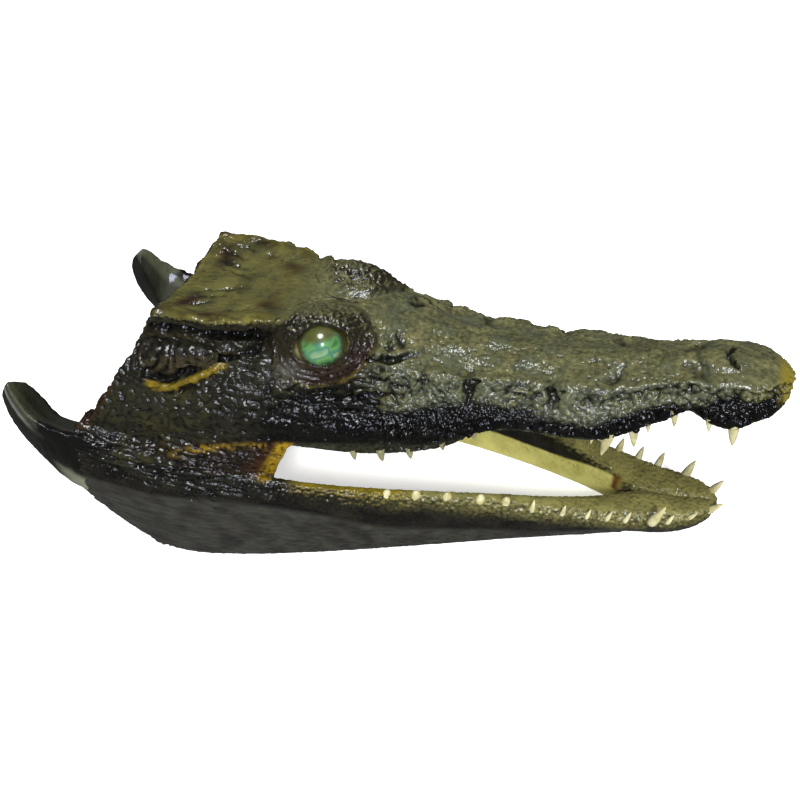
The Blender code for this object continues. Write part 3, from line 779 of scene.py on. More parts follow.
drawn = texture(noise, clay.jaw, (16.0, 1.3, 1.3), 13)
shape += 0.16 * drawn * jaw * outside * (1 - band)
shape -= 0.7 * bell(jz - BAND_EDGE(js), 0.008) * jaw * outside * fade(0.25, 0.4, js)
tuft = spot(clay.jaw, (1045, 240, -258), (30, 60, 24))
shape += 2.2 * np.clip(texture(noise, clay.jaw, 2.4, 22) + 0.05, 0, 1) * tuft
ragged = texture(noise, clay.jaw, 3.0, 21) * fade(0.03, 0.0, jz - JAW_BOTTOM(js)) * jaw
shape += 0.5 * np.clip(ragged, 0, 1) * fade(0.5, 0.9, js)
clay.push(shape)
clay.slide(3.0 * texture(noise, clay.jaw, (40.0, 6.0, 5.0), 23) * fade(1.11, 1.16, js) * jaw, 0, 0)
clay.refresh()
print("wrinkled band covers", round(100 * float(band.mean()), 1), "% of the skin")

# %% [markdown]
# ## Lumps, pebbles and grain
# From large to small: swells of 8 to 14 mm on the snout, pebbles of 1.5 to 3 mm on the
# lips, cheeks and jaw rims, fine wrinkles along the lids and the ear, and a grain of
# about 1 mm everywhere, which breaks the varnish into small lights.

# %% Texture of the skin
s, y, z, js, jy, jz, station, jaw = regions()
upper = 1 - jaw
across, _, _ = eye_plane()
LIP_TOP = curve((-30, 52), (0, 56), (30, 52), (69, 58), (98, 50), (127, 40), (172, 38), (202, 36),
                (232, 32), (293, 24), (325, 28), (372, 42), (404, 50), (453, 56), (534, 56),
                (616, 62), (660, 78), (720, 92), (780, 86), (830, 50), (900, 20))
BAR_TOP = curve((200, -20), (250, -29), (330, -50), (410, -65), (500, -78), (600, -90))
side_wall = fade(0.75, 0.35, clay.up)
lip_share = (z - LIP(s)) / (LIP_TOP(s) - LIP(s))
lip_band = upper * fade(0.010, -0.008, z - LIP_TOP(s)) * fade(0.88, 0.78, s) * fade(-0.75, -0.35, clay.up)
cheek = upper * fade(0.60, 0.72, s) * side_wall * fade(0.98, 1.06, ring) * fade(-0.5, -0.2, clay.up)
under_eye = (np.clip(1.7 * spot(clay.head, (700, 155, 78), (95, 60, 34)), 0, 1) * upper
             * fade(1.0, 1.06, ring))
rim = jaw * fade(-0.055, -0.02, jz - JAW_TOP(js)) * outside
chin = jaw * fade(0.26, 0.18, js) * fade(0.2, 0.6, clay.up)
lids = fade(1.10, 0.98, ring) * fade(0.98, 1.04, almond)
eyeless = 1 - fade(1.0, 0.9, ring)
wall = upper * fade(0.90, 0.62, clay.up) * fade(-0.6, -0.2, clay.up)
clustered = fade(-0.25, 0.25, head_noise(8.0, 37))
torn_back = jaw * fade(-0.10, -0.05, jz - JAW_TOP(js)) + upper * fade(0.05, 0.02, z - LIP(s))
behind = fade(0.86, 0.95, s) * np.clip(torn_back, 0, 1)

blotch = head_noise(9.0, 61)
swell = head_noise((12, 8, 8), 3)
bumps = head_noise((6.5, 4.5, 4.5), 4)
knots = head_noise(3.2, 5)
snout_side = upper * side_wall * fade(0.66, 0.60, s) * fade(-0.6, -0.2, clay.up)
broad = upper * eyeless * fade(-0.5, 0.0, clay.up)
forward = 0.45 + 0.75 * fade(0.72, 0.62, s) * fade(0.10, 0.20, s)
height = broad * forward * (0.75 * swell + 0.55 * bumps * (0.45 + snout_side))
height += snout_side * fade(0.04, 0.14, s) * (0.7 * swell + 0.9 * bumps + 0.5 * knots - 0.3)
pits = fade(0.20, 0.48, head_noise(3.6, 54, snout_side, (0.8, 2.6, 56))) * snout_side
height -= 0.8 * pits
height += 0.42 * knots * (snout_side + 0.5 * cheek) * eyeless

lit_lip = lip_band * (0.25 + 0.75 * fade(0.25, 0.7, lip_share))
pebbled = np.clip(lit_lip + 0.8 * cheek * (1 - behind) + rim * (1 - behind) + 0.25 * chin + 0.3 * band
                  + (0.4 + 0.6 * clustered) * wall * fade(0.66, 0.60, s) * fade(0.03, 0.12, s)
                  + 0.3 * upper * forward, 0, 1)
pebbled *= eyeless * (1 - 0.85 * under_eye) * (1 - 0.5 * beyond_edge)
near, second = texture(cells, wander(clay.head, 0.7, 3.0, 33), (2.7, 2.1, 1.9), 31, pebbled)
stones = np.clip(1 - (near / 0.72) ** 2, 0, 1) - 0.8 * fade(0.22, 0.02, second - near)
height += (0.42 + 0.38 * lit_lip) * stones * pebbled

long_folds = head_noise((20.0, 4.0, 3.6), 42, under_eye, (1.8, 9.0, 44))
furrows = valley(long_folds, 5) - 0.4
height += (0.7 * knots + 0.5 * bumps - 3.1 * furrows) * under_eye

plates, next_plate = texture(cells, wander(clay.head, 1.6, 5.0, 35), (9.0, 5.5, 5.5), 36, snout_side)
split_lines = fade(0.13, 0.0, next_plate - plates) * snout_side
height += (0.5 * np.clip(1 - plates ** 2, 0, 1) - 1.2 * split_lines) * snout_side

fibres = texture(noise, wander(clay.jaw, 1.4, 9.0, 38), (26.0, 5.0, 3.2), 39)
height -= 1.7 * (valley(fibres, 6) - 0.3) * behind
rear_face = upper * fade(0.25, 0.6, -clay.ahead) * fade(0.93, 0.97, s)
sinews = head_noise((5.0, 3.5, 14.0), 59, rear_face, (2.0, 8.0, 58))
height -= 1.2 * (valley(sinews, 6) - 0.3) * rear_face
table_top = upper * fade(0.76, 0.84, s) * top * (1 - beyond_edge)
lumpy = fade(0.2, 0.6, head_noise((10.0, 8.0, 8.0), 49))
height += (0.5 * swell + (0.15 + 0.45 * lumpy) * knots) * table_top
table_lines = head_noise((10.0, 2.6, 5.0), 53, table_top, (1.0, 6.0, 50))
height -= 0.55 * valley(table_lines, 13) * table_top * fade(-0.3, 0.3, blotch)
wrinkles = head_noise((7.0, 1.8, 1.8), 41)
height -= 0.45 * valley(wrinkles, 8) * (cheek + 0.6 * lip_band + 0.4 * snout_side) * eyeless
cracks = head_noise(4.4, 47)
height -= 0.6 * valley(cracks, 14) * (snout_side + 0.5 * broad * forward)

EAR_CENTRE = (1.012, 0.150, 0.156)
SWIRL = 3.0                         # mm from one wrinkle of the ear dome to the next
ear_reach = np.linalg.norm((wander(clay.head, 2.2, 7.0, 45) - EAR_CENTRE) * MM / (1.3, 1, 1), axis=1)
on_ear = spot(clay.head, (1000, 160, 152), (65, 60, 32)) * upper
swirl = np.cos(ear_reach * 2 * math.pi / SWIRL)
height += (0.8 * swirl + 0.7 * knots) * on_ear
height += (0.6 * bumps + 0.5 * knots - 0.7 * valley(cracks, 10)) * beyond_edge * eyeless * (1 - on_ear)
groove_gap, _ = along(wander(clay.head, 0.8, 5.0, 89), TABLE_GROOVE)
groove = bell(groove_gap, 2.6) * upper
ear_folds = head_noise((18.0, 2.4, 2.0), 48, drift=(1.2, 6.0, 46))
on_dome = spot(clay.head, (964, 150, 156), (80, 60, 26))
behind_eye = spot(clay.head, (890, 150, 135), (120, 60, 40)) * upper * fade(1.0, 1.1, ring) * (1 - on_dome)
height -= 0.7 * (valley(ear_folds, 8) - 0.3) * behind_eye
lid_ripple = np.cos(ring * 2 * math.pi / 0.085 + 2.5 * bumps)
height += 0.12 * lid_ripple * lids * (0.4 + 0.6 * below)
beads, _ = texture(cells, clay.head, 1.7, 34, lids)
height += (0.5 * np.clip(1 - (beads / 0.7) ** 2, 0, 1) * (0.5 + 0.5 * above) + 0.4 * knots) * lids

grain = head_noise(1.6, 51) + 0.6 * head_noise(1.0, 52)
glitter = (0.15 + 0.21
           * np.clip(0.3 * lit_lip + 0.7 * cheek + 0.8 * wall + 0.5 * rim + 0.7 * band + 0.6 * lids, 0, 1))
quiet = ((1 - 0.75 * under_eye) * (1 - 0.6 * beyond_edge) * (1 - 0.8 * groove)
         * (1 - 0.6 * lip_band * fade(0.6, 0.3, lip_share)))
height += glitter * grain * (1 - 0.8 * fade(1.0, 0.96, almond)) * quiet * (0.5 + 0.8 * clustered)
clay.push(height)
bar_line = jz - BAR_TOP(js)
inner_face = jaw * fade(0.1, -0.35, clay.out) * fade(0.20, 0.215, js)
height -= 0.9 * bell(bar_line, 0.005) * inner_face
relief_sum = height + 0.8 * strokes * upper + 0.6 * shape
cavity = clay.blur(relief_sum, 1) - clay.blur(relief_sum, 16)
clay.points[:, 2] = np.maximum(clay.points[:, 2], 0)
clay.refresh()
print("finest grain 1.0 mm on a mesh of", VOXEL * 1000, "mm; relief", round(float(height.min()), 2), "to",
      round(float(height.max()), 2))

# %% [markdown]
# ## Colour zones
# The varnish makes dark skin almost black and lets pale skin glow. Each zone becomes
# a mask stored on the skin's points, and the material mixes its colours by them. The
# edges of the zones are broken up by noise, because stain and varnish never end in a
# clean line.

# %% Masks for the material
speck = head_noise(2.6, 62)
loose = 0.010 * blotch + 0.006 * speck
s, y, z, js, jy, jz, station, jaw = regions()
upper = 1 - jaw
jaw_roof = jaw * fade(0.35, 0.75, clay.up) * fade(-0.03, -0.01, jz - JAW_TOP(js))
gum_z = curve((440, 2), (500, -2), (570, -10), (620, -6), (700, -4), (800, 2))
front_edge = corner_edge(z)
corner_zone = (fade(-0.006, 0.0, s - front_edge) * fade(0.006, -0.002, z - LIP(s) + 0.3 * loose)
               * fade(-0.006, 0.004, jz - JAW_TOP(js) + 0.3 * loose))
lip_line = (bell(z - LIP(s) + 0.008 + 0.2 * loose, 0.006) * fade(0.77, 0.80, s) * fade(1.04, 0.92, s)
            * fade(-0.04, -0.02, y - HEAD_WIDTH(s)))
stain_places = wander(clay.head, 3.0, 7.0, 66)
STAINS = ((960, 86, 218), (990, 128, 225), (957, 60, 215), (900, 115, 210), (818, 56, 198))
zones = {
    "black": np.maximum(lip_band * fade(0.012, -0.004, z - LIP_TOP(s) + loose), 0.7 * under_eye),
    "table": upper * fade(0.74, 0.82, s) * fade(0.2, 0.6, clay.up) * (1 - beyond_edge),
    "side": upper * fade(0.98, 0.70, clay.up + 0.25 * blotch + 0.2 * speck) * fade(0.70, 0.60, s)
            * fade(0.02, 0.10, s),
    "yellow": np.clip(1.2 * on_edge + 0.9 * fade(0.95, 1.02, s + 2 * loose) * table_top, 0, 1)
              * fade(-0.4, 0.2, blotch + speck),
    "flank": np.maximum(upper * fade(0.88, 0.66, clay.up) * fade(0.60, 0.68, s + loose), beyond_edge),
    "cheek_olive": beyond_edge * fade(0.86, 0.96, s + 2 * loose) * fade(0.125, 0.105, z)
                   * fade(-0.4, 0.5, blotch),
    "lid": lids * fade(0.95, 0.80, clay.up),
    "lid_low": lids * below,
    "lid_rim": bell(uneven_ring - 1.02, 0.03) * below,
    # painted shade: a dark band along the lid edges where they meet the ball
    "lid_margin_painted_shade": bell(almond - 1.02, 0.05),
    "ear": np.clip(1.5 * on_dome, 0, 1) * upper * side_wall,
    # painted shade: the swirl valleys of the ear and the groove under the table edge go near black
    "ear_painted_shade": np.clip(np.clip(-1.4 * swirl - 0.4 * knots, 0, 1) * on_ear + 1.2 * groove, 0, 1),
    "lid_grey": spot(clay.head, (768, 142, 124), (20, 40, 13)),
    "canthus": fade(1.03, 0.99, almond) * fade(9.0, 10.5, np.abs(across)),
    "pale_roll": np.clip(1.5 * fold(clay.head, PALE_ROLL, 2.4, 1.0, 0.1), 0, 1) * upper,
    "gum": upper * fade(0.006, -0.002, z - gum_z(s)) * fade(0.42, 0.47, s) * fade(0.85, 0.8, s),
    "tip": upper * fade(0.006, -0.014, s + 0.3 * loose) * fade(0.02, 0.04, z),
    "corner": corner_zone,
    "amber": np.clip(corner_zone * fade(0.034, 0.012, s - front_edge) + 0.8 * lip_line
                     * fade(-0.3, 0.3, speck), 0, 1),
    "gold": jaw_roof * fade(0.54, 0.60, js) * fade(0.80, 0.74, js),
    "corner_red": corner_zone * fade(0.07, 0.02, s - front_edge + loose),
    "band": np.clip(band + 0.6 * rim, 0, 1),
    "greyjaw": jaw * outside,
    "streaks_and_painted_highlight": np.clip(0.5 + 1.2 * drawn + 0.8 * blotch, 0, 1) * jaw * outside * (1 - band),
    "jaw_front": jaw * outside * fade(0.74, 0.42, js) * fade(-0.040, -0.015, jz - JAW_TOP(js) + loose),
    "roof": jaw_roof * fade(0.74, 0.62, js),
    "inner_rim": inner_face,
    "bar": inner_face * fade(0.001, -0.005, bar_line + 0.2 * loose) * fade(0.80, 0.55, js + 2 * loose),
    "rust": fade(0.990, 1.002, station + 0.5 * loose) * upper * fade(0.14, 0.11, z),
    "bar_end": inner_face * fade(0.226, 0.218, js) * fade(0.004, -0.002, bar_line)
               * fade(-0.034, -0.026, bar_line),
    "rear_face": rear_face * fade(0.20, 0.15, y + loose),
    "stain": np.clip(sum(spot(stain_places, centre, (20, 14, 40)) for centre in STAINS)
                     + 0.8 * np.clip(blotch - 0.15, 0, 1), 0, 1) * table_top,
    "palate": upper * fade(-0.3, -0.7, clay.up) * fade(0.0, 0.02, HEAD_WIDTH(s) - y),
    # painted shade: hollows of the relief, deep strokes, nostril slits, split lines and pits are darkened
    # here
    "hollow": np.clip(np.clip(-cavity * 3.4 - 0.1, 0, 1) + fade(0.7, 2.2, -strokes) * upper + slit
                      + split_lines + 0.7 * pits, 0, 1),
    "raised": np.clip(cavity * 3.0, 0, 1),
}
for name, values in zones.items():
    store(skin, name, clay.blur(np.asarray(values, float), 1))
skin.data.shade_smooth()
print("zones:", ", ".join(zones))

# %% [markdown]
# ## Varnished hide
# Dried crocodile skin under several coats of clear varnish. The skin itself is matt
# and mottled. The varnish is a hard clear coat, IOR about 1.5, that pools smoothly
# and throws small sharp lights from every bump. So the material is a rough coloured
# base under a full clear coat, and its finest relief, below the mesh, is a bump.

# %% Node helpers and the hide

def colour(hex_code):
    """sRGB hex to linear RGBA."""
    channels = [int(hex_code[i:i + 2], 16) / 255 for i in (1, 3, 5)]
    return (*[c / 12.92 if c <= 0.04045 else ((c + 0.055) / 1.055) ** 2.4 for c in channels], 1)


def material(name):
    made = bpy.data.materials.new(name)
    made.use_nodes = True
    return made, made.node_tree.nodes["Principled BSDF"]


def settle(node, **values):
    """Sets plain values on a node's inputs; an underscore stands for a space."""
    for key, value in values.items():
        node.inputs[key.replace("_", " ")].default_value = value


def plug(made, node, key, value):
    """Links a socket to a node's input, or sets a plain value there."""
    if isinstance(value, bpy.types.NodeSocket):
        made.node_tree.links.new(value, node.inputs[key])
    else:
        node.inputs[key].default_value = value


def add(made, kind, settings=None, links=None, **values):
    """Adds a node; settings are its properties, links feed its inputs, values fill them."""
    node = made.node_tree.nodes.new(kind)
    for key, value in (settings or {}).items():
        setattr(node, key, value)
    settle(node, **values)
    for key, source in (links or {}).items():
        plug(made, node, key, source)
    return node


def mask(made, name):
    return add(made, "ShaderNodeAttribute", {"attribute_name": name}).outputs["Fac"]


def mixed(made, factor, first, second):
    """A colour mix; first and second are sockets or hex colours."""
    node = add(made, "ShaderNodeMix", {"data_type": "RGBA"})
    for socket, value in ((0, factor), (6, first), (7, second)):
        plug(made, node, socket, colour(value) if isinstance(value, str) else value)
    return node.outputs[2]


def times(made, value, factor):
    """A mask times a number."""
    node = add(made, "ShaderNodeMath", {"operation": "MULTIPLY", "use_clamp": True})
    plug(made, node, 0, value)
    plug(made, node, 1, factor)
    return node.outputs[0]


def per_metre(millimetres):
    """Texture scale for a pattern of that size; object coordinates are in metres."""
    return 1000 / millimetres


def place_on(made):
    return add(made, "ShaderNodeTexCoord").outputs["Object"]


def speckle(made, millimetres, **values):
    """Noise on the object's own surface, with patches of about that size."""
    links = {"Vector": place_on(made)}
    node = add(made, "ShaderNodeTexNoise", None, links, Scale=per_metre(millimetres), **values)
    return node.outputs["Fac"]


def sharpened(made, source, low, high):
    """Spreads the middle of a noise from 0 to 1."""
    return add(made, "ShaderNodeMapRange", None, {"Value": source}, From_Min=low, From_Max=high).outputs[0]


def bumped(made, height, strength, distance, **under):
    """A bump from a height; Normal=socket lays it over another one."""
    links = {"Height": height, **under}
    return add(made, "ShaderNodeBump", None, links, Strength=strength, Distance=distance).outputs["Normal"]


hide, surface = material("varnished_crocodile_hide")
fleck = speckle(hide, 2.2, Detail=4.0, Roughness=0.65)
patch = sharpened(hide, speckle(hide, 11, Detail=5.0, Roughness=0.6), 0.42, 0.62)
dots = sharpened(hide, fleck, 0.40, 0.64)

olive = mixed(hide, patch, "#525238", "#6b6945")
olive = mixed(hide, times(hide, dots, 0.75), olive, "#2a2a18")
olive = mixed(hide, times(hide, mask(hide, "raised"), 0.4), olive, "#75744a")
COAT_COLOURS = (
    ("side", "#51553f", "#33372a"), ("flank", "#16150d", "#201f16"), ("table", "#56532b", "#3c3d23"),
    ("yellow", "#645d26", "#4a4620"), ("cheek_olive", "#2a2815", "#201f12"),
    ("stain", "#26170a", "#1e160c"), ("black", "#050504", "#0f0f0b"), ("lid", "#1e1a0e", "#17140b"),
    ("lid_low", "#1f150e", "#2b2417"), ("lid_rim", "#4e4519", "#3b3413"),
    ("lid_grey", "#4b4b41", "#3d3c33"), ("lid_margin_painted_shade", "#120e08", "#1a150b"), ("ear", "#2c2718", "#383220"),
    ("ear_painted_shade", "#060504", "#0a0906"), ("inner_rim", "#423f1e", "#302e18"),
    ("canthus", "#6a6340", "#4a4118"), ("pale_roll", "#6a5a10", "#55470e"), ("gum", "#2c2d21", "#222318"),
    ("tip", "#6d6320", "#57522a"), ("greyjaw", "#252521", "#1d1c19"), ("streaks_and_painted_highlight", "#34342e", "#2b2a24"),
    ("band", "#0f0e0a", "#1d1c14"), ("jaw_front", "#4d4b29", "#3c3a20"), ("roof", "#767240", "#605d34"),
    ("bar", "#b6b266", "#a29d52"), ("corner", "#15100a", "#221a10"), ("corner_red", "#2a1409", "#331e0a"),
    ("amber", "#7f6607", "#62500a"), ("gold", "#6e6016", "#584e12"), ("rust", "#22160b", "#2a1e10"),
    ("bar_end", "#5c3c12", "#4a3110"), ("rear_face", "#2c2215", "#1b160e"),
    ("palate", "#3a3524", "#2b281c"),
)
skin_colour = olive
for name, first, second in COAT_COLOURS:
    skin_colour = mixed(hide, mask(hide, name), skin_colour, mixed(hide, patch, first, second))
# painted shade: the hollow mask darkens creases and recesses toward near black
skin_colour = mixed(hide, times(hide, mask(hide, "hollow"), 0.9), skin_colour, "#040403")
pores = add(hide, "ShaderNodeTexVoronoi", {"feature": "SMOOTH_F1"}, {"Vector": place_on(hide)},
            Scale=per_metre(0.9), Smoothness=0.6)
relief = bumped(hide, pores.outputs["Distance"], 0.35, 0.0003)
relief = bumped(hide, speckle(hide, 0.7, Detail=3.0), 0.30, 0.0003, Normal=relief)
rough = add(hide, "ShaderNodeMapRange", None, {"Value": fleck}, To_Min=0.42, To_Max=0.62)
plug(hide, surface, "Base Color", skin_colour)
plug(hide, surface, "Normal", relief)
plug(hide, surface, "Coat Normal", relief)
plug(hide, surface, "Roughness", rough.outputs[0])
settle(surface, Specular_IOR_Level=0.1, Coat_Weight=0.8, Coat_Roughness=0.08, Coat_IOR=1.5)
skin.data.materials.clear()
skin.data.materials.append(hide)
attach(skin, "root")
SKIN_NODES = ("snout", "cranium", "ear_lid_right", "ear_lid_left", "lower_jaw_right", "lower_jaw_left",
              "mouth_corner_right", "mouth_corner_left")
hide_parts(*SKIN_NODES)
print("hide mixes", len(COAT_COLOURS), "zones")

# %% [markdown]
# ## Teeth
# Crocodile teeth are round cones with a slight bend inwards, and behind the middle of
# the jaw they are low and blunt. Each one here is turned like a spindle round its own
# bent axis, from a root hidden in the gum to a rounded tip.

# %% Teeth in their rows
UPPER_TEETH = ((0.060, 0.044, 0.0), (0.097, 0.024, 0.0), (0.150, 0.030, 0.0),
               (0.190, 0.022, 0.0), (0.212, 0.042, 0.0), (0.250, 0.046, -0.3),
               (0.276, 0.014, -0.2), (0.467, 0.019, 0.0), (0.521, 0.017, 0.0),
               (0.578, 0.021, 0.0), (0.628, 0.021, 0.0), (0.676, 0.017, 0.0))
BACK_TEETH = ((0.258, 0.013, 0.2), (0.302, 0.015, 0.1), (0.356, 0.018, 0.0),
              (0.404, 0.011, 0.0), (0.449, 0.011, 0.0), (0.506, 0.011, 0.0),
              (0.560, 0.012, 0.0), (0.610, 0.009, 0.0))
FRONT_TEETH = {-1: ((0.046, 0.018, 0.9), (0.078, 0.010, 0.7), (0.116, 0.013, 0.3),
                    (0.143, 0.038, 0.3), (0.190, 0.016, 0.25), (0.222, 0.014, 0.25)),
               1: ((0.046, 0.032, 0.4), (0.092, 0.036, 0.2), (0.143, 0.028, 0.1),
                   (0.181, 0.026, 0.1), (0.220, 0.028, 0.1))}
ROOT = 0.008                        # share of the skull that a root reaches into the gum
STOUTNESS = 0.19
TOOTH_SIDES, TOOTH_RINGS = 20, 16


def upper_tooth(place, length, lean, side):
    reach, lip = HEAD_WIDTH(place) - (0.008 if place < 0.4 else 0.004), LIP(place)
    splay = 0.16 if place > 0.1 else 0.05
    tip = (place - lean * length, side * (reach + splay * length), lip - length)
    return (place, side * reach, lip - 0.002), tip


def lower_tooth(place, length, lean, side):
    inset, crown = (0.011, length) if place < 0.39 else (0.017, 0.7 * length)
    reach, top = JAW_OUTER(place) - inset, JAW_TOP(place)
    ends = np.array([(place, side * reach, top - 0.004),
                     (place - lean * length, side * (reach + 0.10 * length), top + crown)])
    return jaw_to_head(ends)


def tooth_rings(gum, tip, inward, stout, blunt):
    """Rings of one tooth from its root to its rounded tip."""
    gum, tip = Vector(head_to_world(gum)), Vector(head_to_world(tip))
    crown, point = (tip - gum).length, (tip - gum).normalized()
    whole, across = crown + ROOT * SKULL, point.orthogonal().normalized()
    other = point.cross(across)
    rings = []
    for share in np.linspace(0, 1, TOOTH_RINGS) ** 0.8:
        width = (1 - share ** (3.2 if blunt else 1.7)) ** (0.5 if blunt else 0.8)
        centre = gum + point * (share * whole - ROOT * SKULL) + Vector(inward) * 0.10 * crown * share ** 2
        radius = max(STOUTNESS * whole * width * stout, 0.00005)
        rings.append([centre + (across * math.cos(a) + other * math.sin(a) * 0.9) * radius
                      for a in np.linspace(0, 2 * math.pi, TOOTH_SIDES, endpoint=False)])
    return np.array(rings)


def tooth_piece(name, teeth):
    """All teeth of one row; each comes with its share of painted shade, which darkens its colour."""
    points, faces, tooth_painted_shade = [], [], []
    for rings, dark in teeth:
        faces += ring_faces(*rings.shape[:2], len(points))
        points += rings.reshape(-1, 3).tolist()
        tooth_painted_shade += [dark] * (TOOTH_RINGS * TOOTH_SIDES)
    made = mesh_object(name, points, faces)
    store(made, "tooth_painted_shade", tooth_painted_shade)
    made.data.shade_smooth()
    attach(made, "root")
    return made


# painted shade: every tooth is darkened toward olive, the upper back teeth under the lip most
upper_teeth = tooth_piece("upper_teeth", [
    (tooth_rings(*upper_tooth(*entry, side), (0, -side, 0), 1.5 if entry[0] > 0.4 else 1.0, False),
     0.75 if entry[0] > 0.4 else 0.2)
    for side in (-1, 1) for entry in UPPER_TEETH])
lower_teeth = tooth_piece("lower_teeth", [
    (tooth_rings(*lower_tooth(*entry, side), (0, -side, 0),
                 *((2.4, True) if entry[0] > 0.39 else (1.0, False))), 0.1)
    for side in (-1, 1) for entry in FRONT_TEETH[side] + BACK_TEETH])
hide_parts("snout", "cranium")
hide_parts("lower_jaw_right", "lower_jaw_left")
below_count = sum(map(len, FRONT_TEETH.values())) + 2 * len(BACK_TEETH)
print("teeth:", 2 * len(UPPER_TEETH), "above,", below_count, "below")

# %% [markdown]
# ## Enamel
# Old tooth enamel: cream, a little translucent, mottled with yellower patches and a fine
# bump, under the same varnish. Typical IOR 1.6, here under a coat.

# %% Tooth material
enamel, tooth = material("varnished_tooth_enamel")
stained = sharpened(enamel, speckle(enamel, 4, Detail=4.0), 0.35, 0.65)
cream = mixed(enamel, stained, "#c8c49c", "#a39a66")
# painted shade darkens the enamel toward olive by the per-tooth mask
cream = mixed(enamel, mask(enamel, "tooth_painted_shade"), cream, "#55573a")
plug(enamel, tooth, "Base Color", cream)
plug(enamel, tooth, "Normal", bumped(enamel, speckle(enamel, 0.8, Detail=3.0), 0.3, 0.0002))
settle(tooth, Roughness=0.35, IOR=1.6, Subsurface_Weight=0.15, Subsurface_Radius=(0.0012, 0.0008, 0.0004),
       Coat_Weight=0.6, Coat_Roughness=0.08)
for piece in (upper_teeth, lower_teeth):
    piece.data.materials.append(enamel)
print("enamel set on", len(upper_teeth.data.polygons) + len(lower_teeth.data.polygons), "faces")

# %% [markdown]
# ## Eyes
# They aren't natural: each is a ball faced with green sea shell, cut and polished, so
# its colour runs from leaf green to blue-green and gold in flowing bands. The front is
# slightly more curved than the rest, like a cornea.

# %% Shell eyes
shell, gem = material("polished_green_sea_shell")
flow = speckle(shell, 11, Detail=2.0, Distortion=1.0)
bands = add(shell, "ShaderNodeValToRGB", None, {"Fac": flow})
stops = ((0.30, "#2b5a34"), (0.40, "#5d8f4e"), (0.47, "#3f7460"), (0.54, "#829f74"), (0.62, "#8a9352"),
         (0.72, "#38684a"))
ramp = bands.color_ramp
while len(ramp.elements) < len(stops):
    ramp.elements.new(0.5)
for element, (position, hex_code) in zip(ramp.elements, stops):
    element.position, element.color = position, colour(hex_code)
white = mixed(shell, mask(shell, "iris"), "#6e6434", bands.outputs["Color"])
shade = mixed(shell, mask(shell, "lid_shade"), white, "#4c4820")
shade = mixed(shell, mask(shell, "edge_shade"), shade, "#23291a")
plug(shell, gem, "Base Color", shade)
settle(gem, Roughness=0.25, Metallic=0.25, Coat_Weight=1.0, Coat_Roughness=0.02)


def eye_piece(side, name):
    """A ball with a slightly raised front, its rings turned round the eye's axis."""
    axis = np.array(turned(EYE_AXIS * (-1, side, 1)))
    first = np.array(Vector(axis).orthogonal().normalized())
    other = np.cross(axis, first)
    rings = []
    for angle in np.linspace(0.02, math.pi - 0.02, 60):
        radius = EYE_RADIUS * (1 + 0.035 * math.exp(-(angle / 0.62) ** 2))
        turn = np.linspace(0, 2 * math.pi, 80, endpoint=False)[:, None]
        rings.append(radius * (math.cos(angle) * axis
                               + math.sin(angle) * (np.cos(turn) * first + np.sin(turn) * other)))
    rings = np.array(rings)
    points = rings.reshape(-1, 3)
    outward = [[face[0]] + face[:0:-1] for face in ring_faces(*rings.shape[:2])]
    made = mesh_object(name, head_to_world(EYE * (1, side, 1)) + points, outward)
    made.data.shade_smooth()
    angles = np.repeat(np.linspace(0, 180, len(rings)), rings.shape[1])
    lift = (points @ turned((0, 0, 1))) / EYE_RADIUS
    store(made, "iris", fade(51, 45, angles))
    # painted shadow: the top of the ball under the upper lid and its rim under the lids are darkened in
    # colour
    store(made, "lid_shade", 0.9 * fade(0.52, 0.76, lift))
    store(made, "edge_shade", 0.7 * fade(36, 50, angles))
    made.data.materials.append(shell)
    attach(made, "root")
    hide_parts(name.replace("shell_", ""))


eye_piece(-1, "shell_eye_right")
eye_piece(1, "shell_eye_left")
print("eye is", round(2000 * EYE_RADIUS, 1), "mm across")

# %% [markdown]
# ## The bare ends of the jaw
# Behind the jaw joint each half of the lower jaw ends in a scoop of bare bone, where
# the muscle that opens the mouth was fixed. It is stained dark green-black, smooth,
# under the same varnish, with a sharp outer edge that catches the light; a pale line
# along its keel is a painted highlight in its colour. Only black folds of hide
# still lie over its root, with a pale scar below them.

# %% Bare bone processes
PROCESS_OUTER = loop((1135, 250, 30), (1171, 257, 42), (1215, 258, 42), (1255, 250, 56),
                     (1283, 238, 86), (1298, 224, 94))
PROCESS_INNER = loop((1135, 176, -20), (1171, 170, -16), (1205, 172, -26), (1243, 180, -12),
                     (1270, 189, 46), (1288, 198, 78))
PROCESS_LOWER = loop((1120, 236, -200), (1171, 236, -178), (1230, 234, -134), (1281, 228, -82),
                     (1320, 222, -14), (1326, 218, 62))


def edge_turn(rings):
    """0 at the outer edge, 1 at the lower and 2 at the inner, for the points round a ring."""
    return np.arange(rings.shape[1])[None, :] / rings.shape[1] * 3


def process_collar(back, turn, rings):
    """1 where black folds of dried hide still lie over the root of the scoop."""
    edge = noise(rings.reshape(-1, 3) * MM / (12, 3, 3), 72).reshape(rings.shape[:2])
    return fade(0.52, 0.42, back + 0.10 * edge) * np.maximum(fade(0.62, 0.54, turn), fade(2.7, 2.85, turn))


